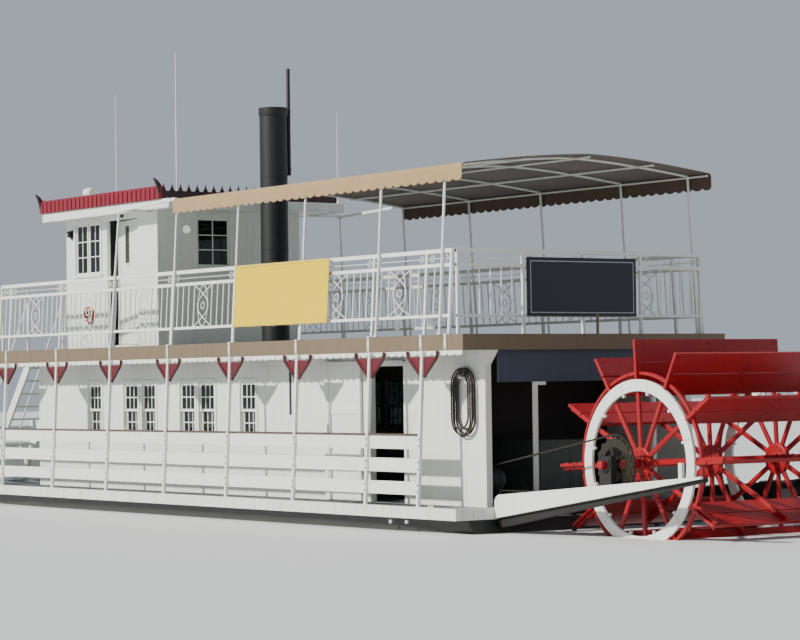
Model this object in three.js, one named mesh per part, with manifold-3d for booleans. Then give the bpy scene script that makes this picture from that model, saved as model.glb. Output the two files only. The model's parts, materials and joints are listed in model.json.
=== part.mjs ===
// A small stern-wheel paddle steamer with two decks, a pilothouse and one funnel.
// Millimetres, +X to the bow, +Y to port, +Z up.
// Inside the boat's group, X is measured from the upper deck's aft edge and Z from the waterline.
// The group is moved so that the origin lies on the waterline at the hull's mid-length.

import * as THREE from 'three';
import { mergeVertices } from 'three/addons/utils/BufferGeometryUtils.js';
import Module from 'manifold-3d';

const wasm = await Module();
wasm.setup();

// Sizes that drive the rest
const GAP = 0.3;
const MIDSHIP_X = 8000;
const SIDES = [{ name: 'port', sign: 1 }, { name: 'starboard', sign: -1 }];

const GUARD = { half: 2372, bottom: 180, top: 330, thick: 60, curveStart: 12700, bowX: 16200, power: 2.2 };
const HULL = { top: 180, keelHalf: 60, keelBottom: -800, keelAft: 2600, keelFore: 13800 };
// Columns: x, half-beam at the guard, half-beam at the chine, chine z, bottom z
const HULL_SECTIONS = [
  [20, 2180, 2040, -40, -90],
  [1500, 2250, 2110, -400, -480],
  [3200, 2260, 2120, -500, -620],
  [11800, 2260, 2080, -500, -620],
  [13600, 2160, 1560, -460, -620],
  [14900, 1690, 860, -360, -590],
  [15700, 1050, 330, -220, -480],
  [16080, 420, 60, -60, -260],
];
const MAIN_DECK_TOP = 320;

const UPPER_DECK = { fore: 13250, half: 2222, top: 2540, under: 2400, edge: 32 };
const FASCIA = { bottom: 2340, top: 2545, thick: 31.7 };
const TRIM = { aft: 20, bottom: 2276, thick: 18, scallop: 164, depth: 30 };

const CABIN = { aft: 170, fore: 12500, half: 1750, wall: 100, kneeZ: 2150, kneeAft: 5 };
const SIDE_DOOR = { aft: 1990, fore: 2790, top: 2160, leaf: 880, lap: 40, thick: 40, off: 12, travel: 1000 };
const FRONT_DOOR = { half: 400, top: 2200, thick: 40 };
const CABIN_WINDOW_Z = [1160, 1975];
// Columns: aft edge x, fore edge x
const CABIN_WINDOWS = [[5711, 6134], [6867, 7317], [7440, 7876], [8625, 9039], [9172, 9617], [10351, 10771]];
const BULKHEAD = { x: 1850, thick: 70 };

const POST = { first: 2040, pitch: 1774, count: 7, last: 840, size: 46, top: 2345 };
// Columns: z, distance from the centreline of the main deck's posts, then of the canopy's posts
const POST_LINE = [[330, 2351.6], [2345, 2245.8]];
const CANOPY_LINE = [[2540, 2200], [3652, 2130], [4718, 2066]];
// Columns: bottom z, top z
const RAIL_BOARDS = [[479, 652], [770, 953], [1070, 1245]];
const BOARD = { thick: 26, lap: 14, past: 30 };
const FOREDECK_RAIL_START = 76;

const UPPER_RAIL = {
  aft: 356, fore: 13150, crossAft: 316, crossFore: 13180, size: 42, top: 3652, inboard: 42,
};
// Columns: bottom z, top z
const UPPER_BARS = [[2767, 2807], [3416, 3464], [3597, 3652]];
// The rail's standards stand a little forward of the posts below, on feet that hook over the deck's edge
const STANDARD = { shift: 78, end: 24, half: 20, footInner: 2132, plate: 7.7, strap: 23, strapLow: 2352 };
const BALUSTER = { size: 17, pitch: 177, panel: 500, longBay: 1100 };

const CANOPY = {
  aft: 109, fore: 7400, half: 2124, eave: 4765, ridge: 4948, hem: 4505, thick: 20, scallop: 190, depth: 45,
};
const CANOPY_POSTS = [535, 1970, 3814, 5588, 7350];
const TUBE = 18;

const HOUSE = { aft: 9240, fore: 12270, half: 1333, wall: 60, top: 4700 };
const HOUSE_DOOR = { aft: 9850, fore: 10870, bottom: 2600, top: 4620, thick: 40, ajar: 9 };
const ROOF = { aft: 8360, fore: 12550, half: 1630, under: 4700.3, top: 4830 };
const CREST = { aft: 8570, side: 5040, top: 4960, tip: 5075, thick: 40, out: 30, pitch: 150, half: 45 };
// Columns: distance from the centreline and z of the horn on each corner of the cresting
const HORN = [[1600, 4835], [1674, 4835], [1690, 4990], [1760, 5160], [1640, 5060], [1600, 5000]];
const HORN_THICK = 60;

const FUNNEL = { x: 7900, radius: 215, top: 6250 };
const WHEEL = { x: -2160, z: 908, half: 1189, tip: 1520, phase: -3, count: 12 };
const FELLOE = { outer: 1031, inner: 886, thick: 40, cleatInner: 846, cleatHalf: 15, lap: 20 };
const BUCKET = { inner: 970, thick: 40, planks: 2, gap: 14, offset: 32 };
const TIMBER = { inner: 1620, outer: 1710, plank: 1760, aft: -3930 };
const SPROCKET = {
  y0: 1540, y1: 1570, outer: 340, root: 318, rim: 210, hub: 95, bore: 51, lap: 8,
  teeth: 16, toothHalf: 12, spokes: 5, spokeHalf: 20,
};

// Finishes
const finish = (color, roughness, metalness = 0) =>
  new THREE.MeshStandardMaterial({ color, roughness, metalness });
const WHITE = finish(0xe9ebe6, 0.5);
const BLACK = finish(0x1d1f22, 0.6);
const TAN = finish(0xa8957f, 0.7);
const RED = finish(0xa3141b, 0.5);
const DECK_GREY = finish(0x7b7f80, 0.8);
const SHADE_BLUE = finish(0x5b6678, 0.6);
const YELLOW = finish(0xf4d92a, 0.5);
const NAVY = finish(0x1b2433, 0.5);
const CANVAS = finish(0xb49b76, 0.9);
const OLIVE = finish(0x5a5646, 0.6, 0.5);
const ROPE = finish(0x2c2522, 0.9);

// Solids from three.js geometries
function solid(geometry) {
  const bare = geometry.clone();
  bare.deleteAttribute('normal');
  bare.deleteAttribute('uv');
  const merged = mergeVertices(bare, 1e-3);
  return new wasm.Manifold(new wasm.Mesh({
    numProp: 3,
    vertProperties: Float32Array.from(merged.attributes.position.array),
    triVerts: Uint32Array.from(merged.index.array),
  }));
}

function geometryOf(body) {
  const mesh = body.getMesh();
  const geometry = new THREE.BufferGeometry();
  geometry.setAttribute('position', new THREE.BufferAttribute(mesh.vertProperties, mesh.numProp));
  geometry.setIndex(new THREE.BufferAttribute(mesh.triVerts, 1));
  geometry.computeVertexNormals();
  return geometry;
}

const join = (bodies) => bodies.reduce((sum, body) => sum.add(body));
const cut = (body, tools) => tools.reduce((rest, tool) => rest.subtract(tool), body);
const sorted = (a, b) => [Math.min(a, b), Math.max(a, b)];

function box(xs, ys, zs) {
  const [[x0, x1], [y0, y1], [z0, z1]] = [sorted(...xs), sorted(...ys), sorted(...zs)];
  const geometry = new THREE.BoxGeometry(x1 - x0, y1 - y0, z1 - z0);
  geometry.translate((x0 + x1) / 2, (y0 + y1) / 2, (z0 + z1) / 2);
  return solid(geometry);
}

// A flat outline pushed along one axis: 'x' takes (y, z) points, 'y' takes (x, z), 'z' takes (x, y)
const AXES = {
  x: [new THREE.Vector3(0, 1, 0), new THREE.Vector3(0, 0, 1), new THREE.Vector3(1, 0, 0)],
  y: [new THREE.Vector3(0, 0, 1), new THREE.Vector3(1, 0, 0), new THREE.Vector3(0, 1, 0)],
  z: [new THREE.Vector3(1, 0, 0), new THREE.Vector3(0, 1, 0), new THREE.Vector3(0, 0, 1)],
};

function slab(axis, points, from, to, hole = null) {
  const flat = (list) => {
    const ordered = list.map(([a, b]) => (axis === 'y' ? new THREE.Vector2(b, a) : new THREE.Vector2(a, b)));
    return THREE.ShapeUtils.isClockWise(ordered) ? ordered.reverse() : ordered;
  };
  const shape = new THREE.Shape(flat(points));
  if (hole) shape.holes.push(new THREE.Path(flat(hole)));
  const [start, end] = sorted(from, to);
  const geometry = new THREE.ExtrudeGeometry(shape, { depth: end - start, bevelEnabled: false });
  geometry.applyMatrix4(new THREE.Matrix4().makeBasis(...AXES[axis]));
  geometry.translate(...AXES[axis][2].clone().multiplyScalar(start).toArray());
  return solid(geometry);
}

// A straight round bar from p to q
function rod(p, q, radius, sides = 8) {
  const [start, end] = [new THREE.Vector3(...p), new THREE.Vector3(...q)];
  const run = end.clone().sub(start);
  const geometry = new THREE.CylinderGeometry(radius, radius, run.length(), sides);
  const turn = new THREE.Quaternion().setFromUnitVectors(new THREE.Vector3(0, 1, 0), run.clone().normalize());
  geometry.applyMatrix4(new THREE.Matrix4().makeRotationFromQuaternion(turn));
  geometry.translate(...start.add(end).multiplyScalar(0.5).toArray());
  return solid(geometry);
}

// A ring or disc about the Y axis at the wheel's shaft
function disc(radius, y0, y1, sides, centre = [WHEEL.x, WHEEL.z]) {
  return rod([centre[0], y0, centre[1]], [centre[0], y1, centre[1]], radius, sides);
}

function ring(outer, inner, from, to, sides, centre) {
  const [y0, y1] = sorted(from, to);
  return disc(outer, y0, y1, sides, centre).subtract(disc(inner, y0 - 1, y1 + 1, sides, centre));
}

// The closed skin through a list of sections that have the same number of points
function loft(sections) {
  const count = sections[0].length;
  const last = (sections.length - 1) * count;
  const faces = [];
  for (let row = 0; row + 1 < sections.length; row += 1) {
    for (let i = 0; i < count; i += 1) {
      const [a, b] = [row * count + i, row * count + ((i + 1) % count)];
      faces.push(a, a + count, b, b, a + count, b + count);
    }
  }
  for (let i = 1; i + 1 < count; i += 1) {
    faces.push(0, i, i + 1);
    faces.push(last, last + i + 1, last + i);
  }
  const geometry = new THREE.BufferGeometry();
  geometry.setAttribute('position', new THREE.Float32BufferAttribute(sections.flat(2), 3));
  geometry.setIndex(faces);
  return solid(geometry);
}

// The plan of the decks: straight sides that close in an arc at the bow
function planHalf(x, half) {
  if (x <= GUARD.curveStart) return half;
  const t = Math.min(1, (x - GUARD.curveStart) / (GUARD.bowX - GUARD.curveStart));
  return half * Math.sqrt(1 - t ** GUARD.power);
}

function planOutline(inset, aft) {
  const steps = 10;
  const port = [[aft, GUARD.half - inset]];
  for (let i = 0; i <= steps; i += 1) {
    const t = Math.sin((i / steps) * (Math.PI / 2));
    const half = (GUARD.half - inset) * Math.sqrt(Math.max(0, 1 - t ** GUARD.power));
    port.push([GUARD.curveStart + t * (GUARD.bowX - inset - GUARD.curveStart), half]);
  }
  const starboard = port.filter(([, y]) => y > 1).map(([x, y]) => [x, -y]).reverse();
  return [...port, ...starboard];
}

// The distance of a line of leaning posts from the centreline at a height
function lineY(line, z) {
  const above = Math.max(1, line.findIndex(([top]) => z <= top));
  const [[z0, y0], [z1, y1]] = [line[above - 1], line[above]];
  return y0 + ((y1 - y0) * (z - z0)) / (z1 - z0);
}
const postY = (z) => lineY(POST_LINE, z);
const canopyY = (z) => lineY(CANOPY_LINE, z);
const railY = (z) => canopyY(z) - UPPER_RAIL.inboard;

// A square bar that leans with such a line, its ends level
function leaning(yAt, x, sign, z0, z1, half) {
  const [y0, y1] = [sign * yAt(z0), sign * yAt(z1)];
  return slab('x', [[y0 - half, z0], [y0 + half, z0], [y1 + half, z1], [y1 - half, z1]], x - half, x + half);
}

// Notches for the lower edge of a board, which leave a row of scallops, each a triangle of (along, z)
const NOTCH_SHARE = 0.3;
function notches(start, end, low, pitch, depth) {
  const count = Math.round((end - start) / pitch);
  const step = (end - start) / count;
  return Array.from({ length: count }, (_, i) => start + step * (i + 0.5)).map((middle) =>
    [[middle - NOTCH_SHARE * step, low - 1], [middle, low + depth], [middle + NOTCH_SHARE * step, low - 1]]);
}

const postXs = Array.from({ length: POST.count }, (_, n) => POST.first + n * POST.pitch);

// The boat
const boat = new THREE.Group();
boat.position.x = -MIDSHIP_X;

function piece(name, body, material) {
  const mesh = new THREE.Mesh(geometryOf(body), material);
  mesh.name = name;
  boat.add(mesh);
}

// Hull, guard and main deck
function hullBody() {
  const sections = HULL_SECTIONS.map(([x, deck, chine, chineZ, bottomZ]) => [
    [x, deck, HULL.top], [x, chine, chineZ], [x, HULL.keelHalf, bottomZ],
    [x, -HULL.keelHalf, bottomZ], [x, -chine, chineZ], [x, -deck, HULL.top],
  ]);
  const keel = slab('y', [
    [HULL.keelAft, HULL.keelBottom], [HULL.keelFore, HULL.keelBottom],
    [HULL.keelFore + 900, -500], [1500, -440],
  ], -HULL.keelHalf, HULL.keelHalf);
  return loft(sections).add(keel);
}

function guardBody() {
  return slab('z', planOutline(0, 0), GUARD.bottom, GUARD.top, planOutline(GUARD.thick, GUARD.thick));
}

function mainDeckBody() {
  const inset = GUARD.thick + GAP;
  return slab('z', planOutline(inset, inset), HULL.top + GAP, MAIN_DECK_TOP);
}

piece('hull', hullBody(), BLACK);
piece('guard', guardBody(), WHITE);
piece('main_deck', mainDeckBody(), DECK_GREY);

// Rudders ahead of the wheel, each a blade on a round stock
const RUDDER = {
  x: -300, y: 700, top: 210, bladeTop: -60, bottom: -560, fore: 130, aft: 430, half: 20, stock: 35,
};
for (const { name, sign } of SIDES) {
  const y = sign * RUDDER.y;
  const blade = slab('y', [
    [RUDDER.x + RUDDER.fore, RUDDER.bladeTop], [RUDDER.x + RUDDER.fore, RUDDER.bottom + 80],
    [RUDDER.x + RUDDER.fore - 80, RUDDER.bottom], [RUDDER.x - RUDDER.aft, RUDDER.bottom],
    [RUDDER.x - RUDDER.aft, RUDDER.bladeTop],
  ], y - RUDDER.half, y + RUDDER.half);
  const stock = rod([RUDDER.x, y, RUDDER.bottom + 20], [RUDDER.x, y, RUDDER.top], RUDDER.stock, 12);
  piece(`rudder_${name}`, blade.add(stock), BLACK);
}

// Main cabin
function cabinSideWall(sign) {
  const [inner, outer] = [sign * (CABIN.half - CABIN.wall), sign * CABIN.half];
  const foot = MAIN_DECK_TOP + GAP;
  const ceiling = UPPER_DECK.under - GAP;
  const wall = slab('y', [
    [CABIN.aft, foot], [CABIN.fore, foot], [CABIN.fore, ceiling], [UPPER_DECK.edge + 3, ceiling],
    [UPPER_DECK.edge + 3, FASCIA.bottom - GAP], [CABIN.kneeAft, FASCIA.bottom - GAP], [CABIN.aft, CABIN.kneeZ],
  ], inner, outer);
  const through = [inner - sign * 10, outer + sign * 10];
  const windows = CABIN_WINDOWS.map((xs) => box(xs, through, CABIN_WINDOW_Z));
  const doorway = box([SIDE_DOOR.aft, SIDE_DOOR.fore], through, [foot - 10, SIDE_DOOR.top]);
  const track = box([SIDE_DOOR.aft - 60, SIDE_DOOR.fore + SIDE_DOOR.travel + 60],
    [outer - sign * 5, outer + sign * (SIDE_DOOR.off + SIDE_DOOR.thick + 8)],
    [SIDE_DOOR.top + 35, SIDE_DOOR.top + 65]);
  const extras = [track];
  if (sign > 0) extras.push(box([555, 585], [outer - 5, outer + 120], [1975, 2004]));
  return join([cut(wall, [...windows, doorway]), ...extras]);
}

for (const { name, sign } of SIDES) piece(`cabin_wall_${name}`, cabinSideWall(sign), WHITE);

const between = CABIN.half - CABIN.wall - GAP;
const cabinZ = [MAIN_DECK_TOP + GAP, UPPER_DECK.under - GAP];
const frontDoorway = box([CABIN.fore - 200, CABIN.fore + 10], [-FRONT_DOOR.half, FRONT_DOOR.half],
  [0, FRONT_DOOR.top]);
const frontWindows = SIDES.map(({ sign }) =>
  box([CABIN.fore - 200, CABIN.fore + 10], [sign * 750, sign * 1350], CABIN_WINDOW_Z));
piece('cabin_wall_front', cut(
  box([CABIN.fore - CABIN.wall, CABIN.fore], [-between, between], cabinZ),
  [frontDoorway, ...frontWindows]), WHITE);
piece('cabin_bulkhead_aft',
  box([BULKHEAD.x, BULKHEAD.x + BULKHEAD.thick], [-between, between], cabinZ), WHITE);

// Doors: the port one stands open forward of its doorway, the starboard one is shut
for (const { name, sign } of SIDES) {
  const shift = sign > 0 ? SIDE_DOOR.travel : 0;
  const aft = SIDE_DOOR.aft - SIDE_DOOR.lap + shift;
  const face = CABIN.half + SIDE_DOOR.off;
  piece(`cabin_door_${name}`, box([aft, aft + SIDE_DOOR.leaf], [sign * face, sign * (face + SIDE_DOOR.thick)],
    [MAIN_DECK_TOP + 12, SIDE_DOOR.top + 25]), WHITE);
}
piece('cabin_door_front', box([CABIN.fore - 50, CABIN.fore - 50 + FRONT_DOOR.thick],
  [-FRONT_DOOR.half + 8, FRONT_DOOR.half - 8], [MAIN_DECK_TOP + 12, FRONT_DOOR.top - 8]), WHITE);

// Stern bay: header, posts, engine and drive
const HEADER = { x0: 65, x1: 105, half: 1610, bottom: 1927 };
piece('stern_header', box([HEADER.x0, HEADER.x1], [-HEADER.half, HEADER.half],
  [HEADER.bottom, UPPER_DECK.under - GAP]), SHADE_BLUE);
for (const { name, sign } of SIDES) {
  const top = HEADER.bottom - GAP;
  const post = box([65, 120], [sign * 975, sign * 1030], [MAIN_DECK_TOP + GAP, top]);
  const arm = box([65, 120], [sign * 840, sign * 980], [top - 45, top]);
  piece(`stern_post_${name}`, post.add(arm), WHITE);
}
piece('engine_block', box([700, 1750], [-450, 450], [MAIN_DECK_TOP + GAP, 1150]), DECK_GREY);

const MOTOR = { x: 900, z: 640, radius: 150, small: 90 };
const motorCentre = [MOTOR.x, MOTOR.z];
piece('drive_motor', join([
  disc(MOTOR.radius, 950, 1450, 16, motorCentre),
  disc(35, 1440, SPROCKET.y1, 12, motorCentre),
  disc(MOTOR.small, SPROCKET.y0, SPROCKET.y1, 16, motorCentre),
  box([MOTOR.x - 140, MOTOR.x + 140], [1000, 1400], [MAIN_DECK_TOP + GAP, MOTOR.z]),
]), OLIVE);

// The chain's loop round both sprockets, as one flat band
function chainLoop(bigRadius, smallRadius) {
  const [dx, dz] = [MOTOR.x - WHEEL.x, MOTOR.z - WHEEL.z];
  const length = Math.hypot(dx, dz);
  const lean = Math.atan2(dz, dx);
  const spread = Math.acos((bigRadius - smallRadius) / length);
  const arc = (cx, cz, radius, from, to, steps) => Array.from({ length: steps + 1 }, (_, i) => {
    const angle = from + ((to - from) * i) / steps;
    return [cx + radius * Math.cos(angle), cz + radius * Math.sin(angle)];
  });
  return [
    ...arc(WHEEL.x, WHEEL.z, bigRadius, lean + spread, lean + 2 * Math.PI - spread, 16),
    ...arc(MOTOR.x, MOTOR.z, smallRadius, lean - spread, lean + spread, 8),
  ];
}
const CHAIN = { clear: 8, thick: 30 };
piece('drive_chain', slab('y',
  chainLoop(SPROCKET.outer + CHAIN.clear + CHAIN.thick, MOTOR.small + CHAIN.clear + CHAIN.thick),
  SPROCKET.y0, SPROCKET.y1,
  chainLoop(SPROCKET.outer + CHAIN.clear, MOTOR.small + CHAIN.clear)), OLIVE);

// Stern beams that carry the wheel: white planks outside black timbers
const timberTop = (x) => 488 + (805 - 488) * (x / TIMBER.aft);
for (const { name, sign } of SIDES) {
  const plank = slab('y', [
    [-GAP, 190], [-GAP, 408], [-25, 463], [-80, timberTop(-80)], [TIMBER.aft, 805], [TIMBER.aft, 778],
  ], sign * (TIMBER.outer + GAP), sign * TIMBER.plank);
  const stub = box([-3610, -3550], [sign * (TIMBER.outer + GAP), sign * TIMBER.plank], [770, 957]);
  piece(`stern_plank_${name}`, plank.add(stub), WHITE);
}

function sternTimbers() {
  const timbers = SIDES.map(({ sign }) => slab('y', [
    [-GAP, 60], [-GAP, timberTop(0) - 20], [TIMBER.aft + 10, 785], [TIMBER.aft + 10, 738],
  ], sign * TIMBER.inner, sign * TIMBER.outer));
  const blocks = SIDES.map(({ sign }) =>
    box([WHEEL.x - 110, WHEEL.x + 110], [sign * TIMBER.inner, sign * TIMBER.outer], [600, WHEEL.z + 105]));
  const cross = box([-400, -220], [-TIMBER.inner - 20, TIMBER.inner + 20], [215, 335]);
  const bore = disc(56, -TIMBER.plank, TIMBER.plank, 16);
  return join([...timbers, ...blocks, cross]).subtract(bore);
}
piece('stern_timbers', sternTimbers(), BLACK);

// Paddle wheel
const spoke = (angle, r0, r1, half, y0, y1, offset = 0) => {
  const [c, s] = [Math.cos(angle), Math.sin(angle)];
  const at = (r, t) => [WHEEL.x + r * c - t * s, WHEEL.z + r * s + t * c];
  const [low, high] = [offset - half, offset + half];
  return slab('y', [at(r0, low), at(r1, low), at(r1, high), at(r0, high)], y0, y1);
};
const armAngles = Array.from({ length: WHEEL.count }, (_, i) =>
  THREE.MathUtils.degToRad(WHEEL.phase + (360 / WHEEL.count) * i));

function paddleWheel() {
  const inside = WHEEL.half - FELLOE.thick - GAP;
  // Columns: y of the frame's two faces
  const frames = [[inside - 45, inside], [-22, 22], [-inside, -inside + 45]];
  const bodies = [disc(50, -TIMBER.plank - 40, TIMBER.plank + 40, 12)];
  for (const [y0, y1] of frames) {
    bodies.push(disc(200, y0 - 12, y1 + 12, 12));
    if (y0 * y1 > 0) bodies.push(ring(1125, 1085, y0, y1, 24));
    for (const angle of armAngles) bodies.push(spoke(angle, 60, 1500, 32, y0, y1));
  }
  const board = (WHEEL.tip - BUCKET.inner - (BUCKET.planks - 1) * BUCKET.gap) / BUCKET.planks;
  for (const angle of armAngles) {
    for (let plank = 0; plank < BUCKET.planks; plank += 1) {
      const low = BUCKET.inner + plank * (board + BUCKET.gap);
      bodies.push(spoke(angle, low, low + board, BUCKET.thick / 2, -WHEEL.half, WHEEL.half, BUCKET.offset));
    }
  }
  const bands = SIDES.map(({ sign }) =>
    ring(FELLOE.outer + 6, FELLOE.inner - 6, sign * inside, sign * (WHEEL.half + 5), 36));
  return cut(join(bodies), bands);
}
piece('paddle_wheel', paddleWheel(), RED);

// Each white ring has a cleat inside it at every joint, halfway between two arms
for (const { name, sign } of SIDES) {
  const [y0, y1] = sorted(sign * (WHEEL.half - FELLOE.thick), sign * WHEEL.half);
  const half = Math.PI / WHEEL.count;
  const cleats = armAngles.map((angle) => spoke(angle + half,
    FELLOE.cleatInner, FELLOE.inner + FELLOE.lap, FELLOE.cleatHalf, y0, y1));
  piece(`wheel_felloes_${name}`, join([ring(FELLOE.outer, FELLOE.inner, y0, y1, 36), ...cleats]), WHITE);
}

function sprocketBody() {
  const { y0, y1, outer, root, rim, hub, bore, lap, teeth, toothHalf, spokes, spokeHalf } = SPROCKET;
  const around = (count, r0, r1, half) => Array.from({ length: count }, (_, i) =>
    spoke((2 * Math.PI * i) / count, r0 - lap, r1, half, y0, y1));
  return join([
    ring(root, rim, y0, y1, 24), ring(hub, bore, y0, y1, 24),
    ...around(teeth, root, outer, toothHalf), ...around(spokes, hub, rim + lap, spokeHalf),
  ]);
}
piece('drive_sprocket', sprocketBody(), OLIVE);

// Outer posts of the main deck with their rail boards and sawn brackets
const BRACKET = { low: 2010, high: 2335, reach: 340, foot: 40, thick: 22 };
function sidePosts(sign) {
  const xs = [POST.last, ...postXs];
  const posts = xs.map((x) => leaning(postY, x, sign, GUARD.top + GAP, POST.top, POST.size / 2));
  const boards = RAIL_BOARDS.map(([z0, z1]) => {
    const y = postY((z0 + z1) / 2) - BOARD.lap;
    return box([POST.last, postXs.at(-1) + BOARD.past], [sign * y, sign * (y - BOARD.thick)], [z0, z1]);
  });
  const brackets = xs.flatMap((x) => [-1, 1].map((way) => {
    const y = postY(BRACKET.high);
    return slab('y', [
      [x + way * 10, BRACKET.low], [x + way * (10 + BRACKET.foot), BRACKET.low],
      [x + way * BRACKET.reach, BRACKET.high], [x + way * (BRACKET.reach - 90), BRACKET.high],
      [x + way * 10, BRACKET.low + 90],
    ], sign * (y - BRACKET.thick / 2), sign * (y + BRACKET.thick / 2));
  }));
  return join([...posts, ...boards, ...brackets]);
}
for (const { name, sign } of SIDES) piece(`side_posts_${name}`, sidePosts(sign), WHITE);

// Foredeck rail round the bow
function foredeckRail() {
  const start = postXs.at(-1) + FOREDECK_RAIL_START;
  const boards = RAIL_BOARDS.map(([z0, z1]) => slab('z',
    planOutline(35, start - 400), z0, z1, planOutline(35 + BOARD.thick, start - 350)));
  const posts = [];
  for (const x of [13400, 14275, 15100, 15700]) {
    for (const { sign } of SIDES) {
      const y = planHalf(x, GUARD.half) - 55;
      posts.push(box([x - 28, x + 28], [sign * (y - 28), sign * (y + 28)], [GUARD.top + GAP, 1345]));
    }
  }
  posts.push(box([GUARD.bowX - 92, GUARD.bowX - 30], [-28, 28], [GUARD.top + GAP, 1345]));
  const trimmed = cut(join(boards), [box([start - 410, start], [-3000, 3000], [0, 3000])]);
  return join([trimmed, ...posts]);
}
piece('foredeck_rail', foredeckRail(), WHITE);

// Stair from the foredeck to the upper deck
const STAIR = {
  y0: 850, y1: 1550, topX: 13255, topZ: 2500, footX: 15050, steps: 9, stringer: 40, depth: 200, tread: 175,
};
function stairBody() {
  const foot = MAIN_DECK_TOP + GAP;
  const slope = (STAIR.topZ - foot) / (STAIR.footX - STAIR.topX);
  const outline = [
    [STAIR.topX, STAIR.topZ], [STAIR.topX, STAIR.topZ - STAIR.depth * 1.3],
    [STAIR.footX - (STAIR.depth * 1.3) / slope, foot], [STAIR.footX, foot],
  ];
  const stringers = [[STAIR.y0, STAIR.y0 + STAIR.stringer], [STAIR.y1 - STAIR.stringer, STAIR.y1]]
    .map(([y0, y1]) => slab('y', outline, y0, y1));
  const treads = Array.from({ length: STAIR.steps }, (_, i) => {
    const z = foot + ((i + 1) * (STAIR.topZ - foot)) / (STAIR.steps + 1);
    const x = STAIR.footX - (z - foot) / slope;
    return box([x - STAIR.tread, x + 5], [STAIR.y0 + 5, STAIR.y1 - 5], [z - 32, z]);
  });
  const rails = [STAIR.y0 + 20, STAIR.y1 - 20].flatMap((y) => {
    const low = [STAIR.footX - 120, y, foot + 950];
    const high = [STAIR.topX + 60, y, STAIR.topZ + 860];
    return [
      rod(low, high, 18, 8),
      rod([low[0], y, foot + 60], low, 18, 8),
      rod([high[0], y, STAIR.topZ - 160], high, 18, 8),
    ];
  });
  return join([...stringers, ...treads, ...rails]);
}
piece('stair', stairBody(), WHITE);

// Upper deck with its fascia and trim
const deckRect = (inset, aft = inset, fore = UPPER_DECK.fore - inset) => [
  [aft, UPPER_DECK.half - inset], [fore, UPPER_DECK.half - inset],
  [fore, -(UPPER_DECK.half - inset)], [aft, -(UPPER_DECK.half - inset)],
];
piece('upper_deck', slab('z', deckRect(UPPER_DECK.edge), UPPER_DECK.under, UPPER_DECK.top), DECK_GREY);
const shortPost = box([5, 28], [-15, 15], [FASCIA.top - 20, 2803]);
const fascia = slab('z', deckRect(0), FASCIA.bottom, FASCIA.top, deckRect(FASCIA.thick));
piece('deck_fascia', fascia.add(shortPost), TAN);
function trimBody() {
  const { half, fore } = UPPER_DECK;
  const row = (start, end) => notches(start, end, TRIM.bottom, TRIM.scallop, TRIM.depth);
  const boards = slab('z', deckRect(0), TRIM.bottom, FASCIA.bottom - GAP, deckRect(TRIM.thick));
  const aftOpening = box([-10, TRIM.thick + 2], [-half - 10, half + 10], [TRIM.bottom - 10, UPPER_DECK.under]);
  return cut(boards, [
    aftOpening,
    ...row(TRIM.aft, fore).map((outline) => slab('y', outline, -half - 10, half + 10)),
    ...row(-half, half).map((outline) => slab('x', outline, fore - TRIM.thick - 10, fore + 10)),
  ]);
}
piece('scallop_trim', trimBody(), WHITE);

// Upper deck rails
// Balusters between two standards: an even row, or in a long bay two rows with an open panel between them
const [lowBar, midBar] = UPPER_BARS.map(([z0, z1]) => (z0 + z1) / 2);
function uprightsBetween(start, end) {
  const row = (from, to) => {
    const count = Math.round((to - from) / BALUSTER.pitch);
    return Array.from({ length: count - 1 }, (_, i) => from + ((to - from) * (i + 1)) / count);
  };
  if (end - start < BALUSTER.longBay) return row(start, end);
  const panel = [(start + end - BALUSTER.panel) / 2, (start + end + BALUSTER.panel) / 2];
  return [...row(start, panel[0]), ...panel, ...row(panel[1], end)];
}

function upperSideRail(sign) {
  const { aft, fore, size, top } = UPPER_RAIL;
  const shifted = [POST.last, ...postXs].map((x) => x + STANDARD.shift);
  const xs = [aft + STANDARD.end, ...shifted, fore - STANDARD.end];
  const foot = FASCIA.top + GAP;
  const edge = UPPER_DECK.half + GAP;
  const hook = [
    [STANDARD.footInner, foot], [edge, foot], [edge, STANDARD.strapLow],
    [edge + STANDARD.plate, STANDARD.strapLow], [edge + STANDARD.plate, foot + STANDARD.plate],
    [STANDARD.footInner, foot + STANDARD.plate],
  ].map(([y, z]) => [sign * y, z]);
  const standards = xs.map((x) => join([
    leaning(railY, x, sign, foot, top, STANDARD.half), slab('x', hook, x - STANDARD.strap, x + STANDARD.strap),
  ]));
  const bars = UPPER_BARS.map(([z0, z1]) => {
    const y = railY((z0 + z1) / 2);
    return box([aft, fore], [sign * (y - size / 2), sign * (y + size / 2)], [z0, z1]);
  });
  const half = BALUSTER.size / 2;
  const balusters = xs.slice(1).flatMap((end, i) => uprightsBetween(xs[i], end))
    .map((x) => leaning(railY, x, sign, lowBar, midBar, half));
  return join([...standards, ...bars, ...balusters]);
}
for (const { name, sign } of SIDES) piece(`upper_rail_${name}`, upperSideRail(sign), WHITE);

function crossRail(x, posts) {
  const half = UPPER_RAIL.size / 2;
  const thin = BALUSTER.size / 2;
  const foot = UPPER_DECK.top + GAP;
  const span = [posts[0] - STANDARD.half, posts.at(-1) + STANDARD.half];
  const bars = UPPER_BARS.map(([z0, z1]) => box([x - half, x + half], span, [z0, z1]));
  const legs = posts.map((y) => box(
    [x - STANDARD.half, x + STANDARD.half], [y - STANDARD.half, y + STANDARD.half], [foot, UPPER_RAIL.top]));
  const uprights = posts.slice(1).flatMap((end, i) => uprightsBetween(posts[i], end));
  const balusters = uprights.map((y) => box([x - thin, x + thin], [y - thin, y + thin], [lowBar, midBar]));
  return join([...bars, ...legs, ...balusters]);
}
piece('upper_rail_aft', crossRail(UPPER_RAIL.crossAft, [-2060, -1000, 0, 1000, 2060]), WHITE);
piece('upper_rail_front', crossRail(UPPER_RAIL.crossFore, [-2060, -1000, 0, 810]), WHITE);
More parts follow.
